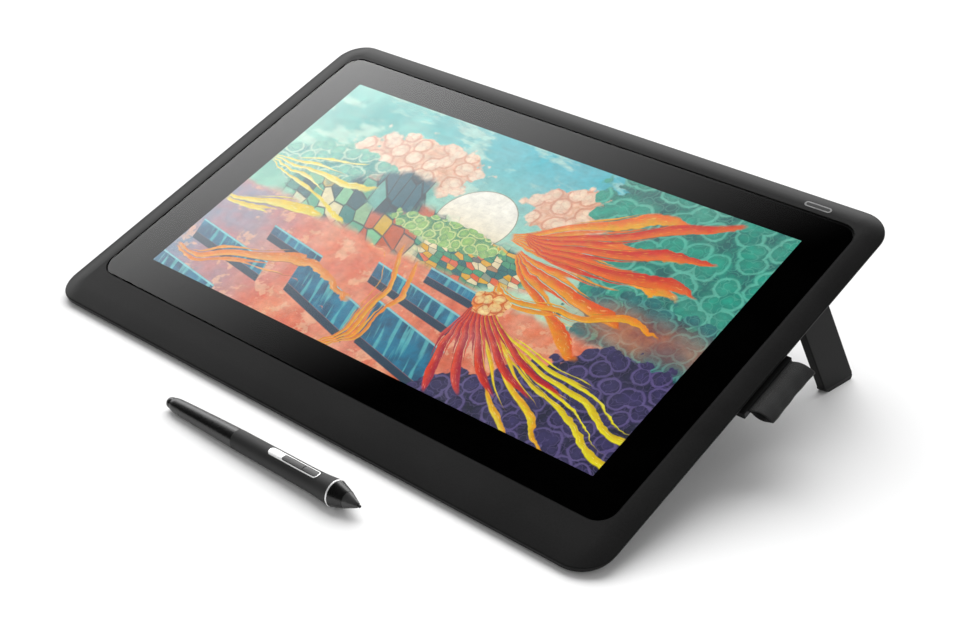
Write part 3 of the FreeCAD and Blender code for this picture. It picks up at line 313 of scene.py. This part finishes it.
def woven_fabric():
    """Black elastic webbing: yarns over and under, read from the band's own along and across."""
    made, tree, shader, place = new_material("black_webbing")
    along = node(tree, "Attribute", out=2, attribute_name="along")
    across = node(tree, "Attribute", out=2, attribute_name="across")
    warp = wave(across * (math.pi / WARP_PITCH / MM))
    weft = wave(along * (math.pi / WEFT_PITCH / MM))
    weave = abs(warp * weft)
    fuzz = noise(place, 3800.0, 3.0, 0.7)
    drift = noise(place, 90.0, 2.0)
    share = weave * 0.6 + fuzz * 0.4
    set_shader(tree, shader, base_color=blend(share, grey(0.006), grey(0.022)),
               roughness=0.75 + 0.15 * drift, sheen_weight=0.25, sheen_roughness=0.4)
    add_relief(tree, shader, weave * 0.8 + fuzz * 0.2, 0.00012)
    return made


# ---- the lit picture ----------------------------------------------------------------------------
def flat_noise(place, *values):
    return noise(place, *values, space="2D")


def flat_cells(place, scale, **more):
    return cells(place, scale, space="2D", **more)


class Painting:
    """Layers of colour from back to front, placed in picture heights from the picture's centre."""

    def __init__(self, x, y, shake, brush, colour):
        self.tree = x.tree
        self.x, self.y, self.shake, self.brush, self.colour = x, y, shake, brush, colour
        self.place = vector(x, y)

    def add(self, paint, *values, share=None, **more):
        """Run one painting step in a node group of its own, which keeps every tree small."""
        group = bpy.data.node_groups.new(paint.__name__, "ShaderNodeTree")
        given = {"X": self.x, "Y": self.y, "Shake": self.shake, "Brush": self.brush}
        if share is not None:
            given["Share"] = share
        for name in given:
            group.interface.new_socket(name, in_out="INPUT", socket_type="NodeSocketFloat")
        group.interface.new_socket("Colour", in_out="INPUT", socket_type="NodeSocketColor")
        group.interface.new_socket("Colour", in_out="OUTPUT", socket_type="NodeSocketColor")
        ports = group.nodes.new("NodeGroupInput")
        wires = [Wire(group, ports.outputs[name]) for name in given]
        inner = Painting(*wires[:4], Wire(group, ports.outputs["Colour"]))
        if share is not None:
            more["share"] = wires[4]
        paint(inner, *values, **more)
        feed(group, group.nodes.new("NodeGroupOutput").inputs["Colour"], inner.colour)
        user = self.tree.nodes.new("ShaderNodeGroup")
        user.node_tree = group
        for name, value in given.items():
            feed(self.tree, user.inputs[name], value)
        feed(self.tree, user.inputs["Colour"], self.colour)
        self.colour = Wire(self.tree, user.outputs["Colour"])

    def lay(self, share, colour):
        self.colour = blend(share, self.colour, colour)

    def tone(self, dark, pale, scale=7.0):
        """A painted tint that wanders between two colours."""
        return blend(step(0.3, 0.7, flat_noise(self.place, scale, 4.0, 0.6)), rgb(dark), rgb(pale))

    def spot(self, x, y, wide, high):
        """Distance from a place, 1 on an oval of that half width and half height."""
        across, up = (self.x - x) / wide, (self.y - y) / high
        return maths(self.tree, "SQRT", across * across + up * up)

    def turned(self, x, y, angle):
        """Distances along and across a line that leaves (x, y) at that angle."""
        c, s = math.cos(math.radians(angle)), math.sin(math.radians(angle))
        right, up = self.x - x, self.y - y
        return right * c + up * s, up * c - right * s


def puffs(art, size, edge, pale, dark, line, share):
    """Billows where share is over a half: overlapping round lobes of two sizes, thinly outlined."""
    shaken = vector(art.x + art.shake * 0.05, art.y + art.brush * 0.015)
    lobe = flat_cells(shaken, size, random=0.85)
    small = flat_cells(shaken, size * 2.7, random=0.9)
    hue = flat_cells(shaken, size, out=1, random=0.85)
    mask = step(0.5 - edge, 0.5 + edge, share - lobe * 0.45 - small * 0.10 + 0.2)
    shade = step(0.05, 0.95, lobe * 0.75 + small * 0.35 + hue * 0.25 - 0.1)
    art.lay(mask, blend(shade, rgb(pale), rgb(dark)))
    rim = step(0.40, 0.46, lobe) * step(0.60, 0.50, lobe)
    fine = step(0.46, 0.52, small) * step(0.66, 0.58, small)
    art.lay(mask * rim * 0.75, rgb(line))
    art.lay(mask * fine * 0.30, rgb(line))


def streamers(art, x, y, angle, reach, bend, spread, count, gap, curl, colours):
    """A fan of long waving ribbons that leaves (x, y): each is shaded across and edged dark."""
    along, across = art.turned(x, y, angle)
    along = along + art.shake * 0.05
    sway = wave(along * 11.0 + art.shake * 2.0) * 0.016 + wave(along * 23.0 + across * 9.0) * 0.006
    across = across - bend * along * along + sway * curl
    fan = across / (along * spread + 0.014)
    strand = fan * count + art.shake * 1.2 + wave(along * 7.0) * 0.25
    part = maths(art.tree, "FRACT", strand + 50.0)
    lit = step(0.0, 0.08, part) * step(gap + 0.08, gap, part)
    tip = reach * (0.72 + 0.28 * wave(strand * 3.1))
    ends = step(0.0, 0.02, along) * step(0.0, 0.03, tip - along)
    mask = lit * ends * step(1.0, 0.93, abs(fan))
    shade = step(0.05, 0.95, part / gap + art.brush * 0.8)
    folds = step(0.60, 0.72, flat_noise(vector(along * 9.0, strand * 3.0), 3.0, 3.0, 0.6))
    art.lay(mask, blend(shade, rgb(colours[0]), rgb(colours[1])))
    art.lay(mask * folds * 0.6, rgb(colours[2]))
    seam = ends * step(1.0, 0.93, abs(fan)) * step(0.10, 0.03, part)
    art.lay(seam * 0.55, rgb(colours[1], 0.25))


def slab(art, x, y, angle, long, lean, deep, top, side, glint):
    """A flat pool seen in perspective, with a darker front side and streaks on its top."""
    along, across = art.turned(x, y, angle)
    slid = along + across * lean
    inside = step(0.0, 0.006, slid) * step(long, long - 0.006, slid)
    face = inside * step(-0.004, 0.0, across) * step(deep, deep - 0.004, across)
    front = inside * step(-0.030, -0.026, across) * step(0.0, -0.004, across)
    streak = step(0.52, 0.66, flat_noise(vector(slid * 40.0, across * 5.0), 1.0, 2.0))
    art.lay(face, art.tone(top, side, 9.0))
    art.lay(face * streak * 0.7, rgb(glint))
    art.lay(face * step(deep - 0.010, deep - 0.006, across), rgb("8FD0D6"))
    art.lay(front, rgb(side, 0.45))


def paint_sky(art):
    art.colour = blend(step(-0.1, 0.5, art.y), rgb("BFE3C6"), rgb("4DB7C6"))
    art.lay(step(0.1, -0.8, art.x) * 0.7, art.tone("3FA596", "93D6BE", 4.0))
    wisps = flat_noise(vector(art.x * 2.0 + art.y, art.y * 5.0), 2.2, 4.0, 0.6)
    art.lay(step(0.52, 0.66, wisps) * 0.5, rgb("D9F0DC"))
    clouds = step(1.0, 0.2, art.spot(-0.40, 0.27, 0.46, 0.20)) + art.shake
    art.add(puffs, 15.0, 0.05, "FBE6CF", "E9B79B", "D99A80", share=clouds)
    clouds = step(1.0, 0.2, art.spot(0.22, 0.30, 0.34, 0.19)) + art.shake
    art.add(puffs, 14.0, 0.04, "FCE2C8", "E9A98A", "D8937A", share=clouds)
    clouds = step(1.0, 0.1, art.spot(0.55, 0.40, 0.42, 0.14)) + art.shake
    art.add(puffs, 13.0, 0.04, "F9D6BC", "E6A486", "D08C72", share=clouds)
    sun = art.spot(-0.045, 0.13, 0.137, 0.137)
    art.lay(step(1.02, 0.99, sun), rgb("9B9A86"))
    art.lay(step(0.99, 0.97, sun), blend(step(-0.05, 0.25, art.y), rgb("F7E5BE"), rgb("FFFBF0")))


def paint_hills(art):
    right = step(0.20, 0.70, art.x + art.y * 0.45) + art.shake * 0.8
    art.add(puffs, 13.0, 0.03, "3AA48E", "14605F", "6CC4AE", share=right)
    art.add(puffs, 17.0, 0.03, "2C7A7B", "123F4B", "57A59C", share=right * step(0.26, -0.05, art.y))
    glow = step(1.0, 0.0, art.spot(0.70, -0.03, 0.36, 0.12)) * 0.9
    art.lay(glow, art.tone("8E4F4C", "D98C68", 6.0))
    left = step(1.0, 0.35, art.spot(-0.60, 0.10, 0.44, 0.20)) + art.shake * 0.6
    art.add(puffs, 17.0, 0.04, "86CBB4", "2F8A8C", "CDE6CF", share=left)


def blocks(art, x, y, wide, high, size, stretch, colours, line):
    """A crowded patch of small upright blocks, each in one flat colour, with dark joints."""
    place = vector(art.x + art.y * 0.22, art.y * stretch + art.x * 0.22)
    hue = maths(art.tree, "FRACT", flat_cells(place, size, out=1, random=0.6) * 6.0)
    flat = rgb(colours[0])
    for i, code in enumerate(colours[1:], 1):
        share = i / len(colours)
        flat = blend(step(share - 0.01, share + 0.01, hue), flat, rgb(code))
    area = step(1.0, 0.7, art.spot(x, y, wide, high) + art.shake * 1.1)
    art.lay(area, flat)
    joints = flat_cells(place, size, feature="DISTANCE_TO_EDGE", random=0.6)
    art.lay(area * step(0.07, 0.02, joints) * 0.85, rgb(line))


def paint_town(art):
    """The busy middle ground: blocks and growth stepping down toward the front."""
    art.add(blocks, -0.30, -0.02, 0.46, 0.17, 19.0, 0.75,
                 ("2E7F78", "5FA98A", "1D5560", "D9B45C", "89C49A", "C96E55", "E9DDB4"), "16383F")
    art.add(blocks, -0.34, 0.13, 0.12, 0.13, 22.0, 0.35, ("2A5F6E", "6FB2A6", "17404E"), "0F2C38")
    art.add(blocks, 0.06, -0.02, 0.26, 0.12, 30.0, 1.8,
                 ("E8B24E", "4F9A78", "E9785A", "2E6F70", "F3E2B8"), "23494F")
    green = step(1.0, 0.3, art.spot(-0.08, 0.04, 0.34, 0.08)) + art.shake * 0.9
    art.add(puffs, 26.0, 0.04, "A5CF7E", "2C7F66", "E3EBA6", share=green)
    warm = step(1.0, 0.3, art.spot(-0.30, -0.15, 0.40, 0.06)) + art.shake * 0.9
    art.add(puffs, 28.0, 0.04, "F6D9A0", "DD8757", "FFF0C8", share=warm)


# Pools: place of the near corner, heading, length, lean and depth.
POOLS = (
    (-0.86, -0.33, -8.0, 0.36, 0.5, 0.055),
    (-0.62, -0.22, -8.0, 0.26, 0.5, 0.035),
    (-0.40, -0.36, -14.0, 0.34, 0.6, 0.10),
    (-0.18, -0.21, -9.0, 0.40, 0.5, 0.055),
    (-0.04, -0.42, -12.0, 0.34, 0.6, 0.13),
    (-0.02, -0.13, -6.0, 0.26, 0.4, 0.035),
    (-0.92, -0.52, -8.0, 0.34, 0.4, 0.08),
)


def paint_ground(art):
    edge = art.y + 0.10 + art.x * 0.05 + art.shake * 0.10
    ground = step(0.02, -0.02, edge)
    art.lay(ground, art.tone("E4785F", "F2A183", 6.0))
    art.lay(ground * step(-0.35, -0.85, art.x), art.tone("7C8FA8", "B98E96", 5.0))
    art.lay(ground * step(0.55, 0.62, flat_noise(art.place, 11.0, 4.0, 0.65)) * 0.6, rgb("F7C3A0"))
    for pool in POOLS:
        art.add(slab, *pool, "2F7FA0", "1E4F70", "6DC6C9")


def paint_thicket(art):
    """Dark scalloped growth in the lower right corner."""
    low = step(0.02, -0.20, art.y + 0.35 * step(0.75, 0.20, art.x) + art.shake * 0.15)
    area = low * step(0.16, 0.30, art.x + art.shake * 0.10)
    art.add(puffs, 17.0, 0.03, "3A3360", "10142C", "6A5C92", share=area)


# Where a fan of ribbons starts, its heading in degrees, reach, bend and spread, how many ribbons
# to each side, how much of its lane a ribbon fills, how it curls, and its three tints.
RIBBONS = (
    (-0.90, 0.07, 8.0, 0.46, -0.5, 0.30, 2.0, 0.5, 1.0, "F8F1A6 EFD650 FFFBD8"),
    (-0.90, -0.16, 24.0, 0.40, -0.7, 0.14, 1.0, 0.8, 1.0, "F3E37A EBCB4A FDF6BE"),
    (-0.88, -0.42, 25.0, 0.70, -0.5, 0.09, 1.0, 0.8, 1.8, "F2AE66 E88A4C F9D39A"),
    (-0.14, -0.52, 66.0, 0.42, 0.9, 0.20, 2.0, 0.8, 2.2, "F7B84C EC8430 FBDD90"),
    (0.10, 0.12, 26.0, 0.56, -0.55, 0.42, 3.0, 0.9, 1.0, "F9B344 F0702C FCDD7C"),
    (0.14, 0.15, 6.0, 0.62, 0.15, 0.36, 3.0, 0.9, 1.0, "F5762E D8342A FBB65A"),
    (0.16, 0.08, -14.0, 0.50, -0.25, 0.30, 2.0, 0.9, 1.0, "F9A640 EA5A30 FCD488"),
    (0.20, -0.05, -4.0, 0.56, 0.15, 0.06, 1.0, 0.8, 2.0, "F7B436 F08A2C FBD978"),
    (0.26, -0.16, -27.0, 0.98, 0.20, 0.11, 2.0, 0.6, 1.0, "F8EC4E E2C22A FFF9A0"),
    (0.24, -0.14, -44.0, 0.62, 0.10, 0.16, 2.0, 0.5, 1.0, "F9E24A EBA92C FFF4A0"),
    (0.22, -0.12, -66.0, 0.38, 0.6, 0.62, 5.0, 0.85, 1.0, "EE5A44 A92339 F9A084"),
)


def paint_ribbons(art):
    for *shape, tints in RIBBONS:
        art.add(streamers, *shape, tints.split())
    bundle = step(1.0, 0.3, art.spot(0.235, -0.135, 0.10, 0.075)) + art.shake * 0.6
    art.add(puffs, 24.0, 0.04, "FBE3A6", "EF8A4C", "C9523A", share=bundle)


SCREEN_GLOW = 0.92


def lit_screen():
    """The panel shows a made-up landscape: sun, clouds, hills, pools and loose ribbons."""
    made, tree, shader, place = new_material("lit_picture")
    centre = tuple(TABLET.translation * -1)
    moved = node(tree, "VectorMath", {0: place, 1: centre}, operation="ADD")
    flat = node(tree, "VectorRotate", {"Vector": moved, "Angle": -TILT}, rotation_type="X_AXIS")
    heights = {0: flat, "Scale": 1 / (PICTURE_H * MM)}
    sized = node(tree, "VectorMath", heights, operation="SCALE")
    x, y = (node(tree, "SeparateXYZ", {0: sized}, out=i) for i in (0, 1))
    shake = flat_noise(vector(x, y), 5.0, 4.0, 0.6) - 0.5
    brush = flat_noise(vector(x, y), 28.0, 3.0, 0.6) - 0.5
    art = Painting(x, y, shake, brush, rgb("67C2C4"))
    for paint in (paint_sky, paint_hills, paint_town, paint_ground, paint_thicket, paint_ribbons):
        paint(art)
    drawn = vector(art.x * 26.0 + art.shake * 18.0, art.y * 70.0)
    strokes = flat_noise(drawn, 1.0, 3.0, 0.65) - 0.5
    painted = node(tree, "HueSaturation", {"Saturation": 1.08 + art.shake * 0.4,
                                           "Value": 0.93 + art.brush * 0.45 + strokes * 0.30,
                                           "Color": art.colour})
    set_shader(tree, shader, base_color=grey(0.01), roughness=0.25, emission_color=painted,
               emission_strength=SCREEN_GLOW)
    made.cycles.emission_sampling = "NONE"
    return made


LOOKS = {
    "housing": lambda: moulded("black_moulding", grey(0.008), grey(0.012), (0.26, 0.34),
                                relief=0.000012, specular_ior_level=0.085),
    "glass": cover_glass,
    "black_print": lambda: surface("black_ink", grey(0.0003), grey(0.0006), (0.5, 0.65),
                                   specular_ior_level=0.0),
    "tape": lambda: surface("foam_tape", grey(0.010), grey(0.022), (0.8, 0.95), grain=1500.0,
                            relief=0.00008),
    "screen": lit_screen,
    "optical_film": lambda: surface("milky_film", grey(0.72), grey(0.85), (0.3, 0.45), patch=12.0,
                                    transmission_weight=0.2),
    "light_guide": lambda: surface("acrylic_sheet", rgb("D5E4E6"), rgb("F0F8F8"), (0.04, 0.12),
                                   transmission_weight=0.8),
    "circuit_board": circuit_board,
    "flat_cable": flat_cable,
    "chip": lambda: surface("epoxy_package", grey(0.012), grey(0.028), (0.45, 0.6), patch=200.0),
    "connector": lambda: surface("cream_nylon", rgb("CFC9B6"), rgb("E4DFCF"), (0.4, 0.55)),
    "sheet_steel": lambda: brushed("rolled_steel", grey(0.42), grey(0.60), (0.28, 0.45)),
    "shield": lambda: brushed("bright_shield", grey(0.62), grey(0.78), (0.2, 0.34)),
    "frame_moulding": lambda: surface("filled_nylon", grey(0.020), grey(0.040), (0.5, 0.65)),
    "inner_moulding": lambda: surface("plain_nylon", grey(0.012), grey(0.024), (0.45, 0.6)),
    "screw": lambda: surface("black_zinc", grey(0.05), grey(0.11), (0.28, 0.42), patch=400.0,
                             metallic=1.0),
    "button_ring": lambda: surface("pale_ring", grey(0.17), grey(0.23), (0.22, 0.35), patch=120.0,
                                   coat_weight=0.3),
    "button_key": lambda: surface("gloss_key", grey(0.003), grey(0.006), (0.25, 0.4)),
    "foot_rubber": lambda: surface("black_rubber", grey(0.012), grey(0.024), (0.7, 0.85),
                                   grain=1800.0, relief=0.00005),
    "nib": lambda: surface("nib_plastic", grey(0.006), grey(0.014), (0.35, 0.5)),
    "woven_band": woven_fabric,
    "pen_gloss": lambda: surface("pen_lacquer", grey(0.004), grey(0.006), (0.24, 0.30), patch=60.0,
                                 relief=0.000004),
    "pen_tip": lambda: surface("satin_tip", grey(0.030), grey(0.045), (0.22, 0.30), patch=150.0,
                               relief=0.000004),
    "pen_grip": lambda: moulded("soft_grip", grey(0.009), grey(0.013), (0.55, 0.66), pit=1700.0,
                                relief=0.000014),
    "pen_silver": lambda: surface("satin_silver", grey(0.80), grey(0.90), (0.28, 0.38), patch=160.0,
                                  metallic=0.45),
    "pen_key": lambda: surface("rocker_plastic", grey(0.030), grey(0.042), (0.38, 0.48),
                               patch=160.0),
    "copper_coil": copper_coil,
}


def dress_nodes():
    made = {}
    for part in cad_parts.values():
        for place in part.material_slots:
            slot = place.material.name
            if slot not in made:
                made[slot] = LOOKS[slot]()
            place.material = made[slot]
    return made


# ---- pen loop -----------------------------------------------------------------------------------
BAND_Y = (-18.0, 21.4)      # the webbing's two edges
BAND_T = 0.85               # its thickness
BAND_Z = -8.0               # height of the clip's mouth
# Middle line of the webbing, from the clip out along the top and back underneath: distance out of
# the housing's side and height over the clip's mouth.
BAND_LINE = ((0.8, 0.48), (2.6, 0.55), (4.4, 1.15), (7.0, 1.85), (10.0, 1.75), (12.8, 0.65),
             (14.6, -0.45), (15.25, -0.95), (14.9, -1.45), (13.0, -1.95), (9.8, -3.0), (6.8, -3.0),
             (4.2, -1.9), (2.6, -0.75), (0.8, -0.48))
ALONG_STEPS = 150
ACROSS_STEPS = 190
RIB_PITCH, RIB_H = 0.84, 0.07
SELVEDGE = 0.4              # width of the band's rounded edge


def smooth_line(points, count):
    """Even samples with their directions along a Catmull-Rom line through the points."""
    points = [Vector(p) for p in points]
    ends = [2 * points[0] - points[1]] + points + [2 * points[-1] - points[-2]]
    dense = []
    for i in range(len(points) - 1):
        a, b, c, d = ends[i:i + 4]
        for k in range(24):
            t = k / 24
            dense.append(0.5 * (2 * b + (c - a) * t + (2 * a - 5 * b + 4 * c - d) * t * t
                                + (3 * b - a - 3 * c + d) * t ** 3))
    dense.append(points[-1])
    run = [0.0]
    for a, b in zip(dense, dense[1:]):
        run.append(run[-1] + (b - a).length)
    samples, at = [], 0
    for k in range(count + 1):
        goal = run[-1] * k / count
        while at < len(run) - 2 and run[at + 1] < goal:
            at += 1
        share = (goal - run[at]) / (run[at + 1] - run[at])
        a, b = dense[at], dense[at + 1]
        samples.append((a.lerp(b, share), (b - a).normalized()))
    return samples, run[-1]


def woven_loop(material):
    line, length = smooth_line(BAND_LINE, ALONG_STEPS)
    width = BAND_Y[1] - BAND_Y[0]
    verts, faces, along, across = [], [], [], []
    for face in (1, -1):
        for k, (point, way) in enumerate(line):
            out = Vector((-way.y, way.x))
            run = length * k / ALONG_STEPS
            free = math.sin(math.pi * k / ALONG_STEPS)
            for m in range(ACROSS_STEPS + 1):
                y = width * m / ACROSS_STEPS
                edge = min(y, width - y)
                rib = RIB_H * abs(math.sin(math.pi * y / RIB_PITCH)) * min(1.0, edge / 0.6)
                inset = max(0.0, 1 - edge / SELVEDGE)
                round_off = math.sqrt(1 - inset ** 2 * 0.9)
                slack = 0.22 * math.sin(0.16 * y + 1.1) + 0.10 * math.sin(0.55 * y + 0.35 * run)
                lift = free * slack
                half = (BAND_T / 2 + rib) * round_off
                spot = point + out * (lift + face * half)
                verts.append(TABLET @ Vector((SIDE_X + spot.x, BAND_Y[0] + y, BAND_Z + spot.y)))
                along.append(run * MM)
                across.append(y * MM)
    row = ACROSS_STEPS + 1
    layer = row * (ALONG_STEPS + 1)
    for k in range(ALONG_STEPS):
        for m in range(ACROSS_STEPS):
            a = k * row + m
            faces.append((a, a + 1, a + row + 1, a + row))
            faces.append((layer + a, layer + a + row, layer + a + row + 1, layer + a + 1))
        for m in (0, ACROSS_STEPS):
            a = k * row + m
            quad = (a, a + row, layer + a + row, layer + a)
            faces.append(quad if m == 0 else quad[::-1])
    for m in range(ACROSS_STEPS):
        for k in (0, ALONG_STEPS):
            a = k * row + m
            quad = (a, layer + a, layer + a + 1, a + 1)
            faces.append(quad if k == 0 else quad[::-1])
    mesh = bpy.data.meshes.new("woven_pen_loop")
    mesh.from_pydata(verts, [], faces)
    for name, values in (("along", along), ("across", across)):
        mesh.attributes.new(name, "FLOAT", "POINT").data.foreach_set("value", values)
    mesh.polygons.foreach_set("use_smooth", [True] * len(mesh.polygons))
    mesh.materials.append(material)
    mesh.update()
    loop = bpy.data.objects.new("woven_pen_loop", mesh)
    bpy.context.scene.collection.objects.link(loop)
    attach(loop, "pen_loop")
    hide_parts("pen_loop_band")
    length * MM


# ---- floor and light ----------------------------------------------------------------------------
LOBE_AZIMUTH, LOBE_HEIGHT = math.radians(-137.3), math.radians(-28.6)
LOBE_START, LOBE_POWER, LOBE_GAIN, LOBE_CAP = 0.069, 1.647, 56.2, 4.6
FLOOR_HALF = 9.0

# Soft lights: azimuth, height, strength and spread in degrees.
DOME = (0.0, 90.0, 0.84, 170.0)
KEY = (-140.0, 55.0, 2.9, 62.0)
SIDES = [(azimuth, 30.0, 0.28, 36.0) for azimuth in range(0, 360, 60)]

def toward(azimuth, height):
    """Unit vector to a place in the sky; azimuth 0 is -y, and it turns toward +x."""
    return Vector((math.sin(azimuth) * math.cos(height), -math.cos(azimuth) * math.cos(height),
                   math.sin(height)))


def add_floor():
    mesh = bpy.data.meshes.new("floor")
    corners = [(x * FLOOR_HALF, y * FLOOR_HALF, 0) for x, y in ((-1, -1), (1, -1), (1, 1), (-1, 1))]
    mesh.from_pydata(corners, [], [(0, 1, 2, 3)])
    floor = bpy.data.objects.new("floor", mesh)
    made, tree, shader, place = new_material("white_paper")
    fine = noise(place, 900.0, 2.0)
    set_shader(tree, shader, base_color=blend(fine, grey(0.88), grey(0.90)), roughness=0.9,
               specular_ior_level=0.0)
    mesh.materials.append(made)
    floor.location.z = -0.1 * MM
    bpy.context.scene.collection.objects.link(floor)


def add_sky():
    """White behind everything; what glossy faces mirror is one broad glow at the back left."""
    world = bpy.data.worlds.new("studio")
    world.use_nodes = True
    tree = world.node_tree
    tree.nodes.clear()
    way = node(tree, "TexCoord", out=0)
    aim = node(tree, "VectorMath", {0: way, 1: toward(LOBE_AZIMUTH, LOBE_HEIGHT)}, out=1,
               operation="DOT_PRODUCT")
    rise = most(aim - LOBE_START, 0.0) / (1.0 - LOBE_START)
    glow = least(maths(tree, "POWER", rise, LOBE_POWER) * LOBE_GAIN, LOBE_CAP)
    glow = glow * step(0.05, 0.6, node(tree, "SeparateXYZ", {0: way}, out=2))
    seen = node(tree, "LightPath", out=0)
    level = seen + (1.0 - seen) * glow
    light = node(tree, "Background", {"Color": grey(1.0), "Strength": level})
    output = tree.nodes.new("ShaderNodeOutputWorld")
    feed(tree, output.inputs["Surface"], light)
    world.cycles_visibility.diffuse = False
    bpy.context.scene.world = world


def add_sun(name, azimuth, height, strength, spread):
    data = bpy.data.lights.new(name, "SUN")
    data.energy = strength
    data.angle = math.radians(spread)
    sun = bpy.data.objects.new(name, data)
    aim = toward(math.radians(azimuth), math.radians(height))
    sun.rotation_euler = aim.to_track_quat("Z", "Y").to_euler()
    sun.visible_glossy = False
    bpy.context.scene.collection.objects.link(sun)


def main():
    bpy.context.scene.view_settings.view_transform = "Standard"
    add_camera()
    made = dress_nodes()
    woven_loop(made["woven_band"])
    add_floor()
    add_sky()
    add_sun("dome", *DOME)
    add_sun("key", *KEY)
    for side in SIDES:
        add_sun("side", *side)


main()
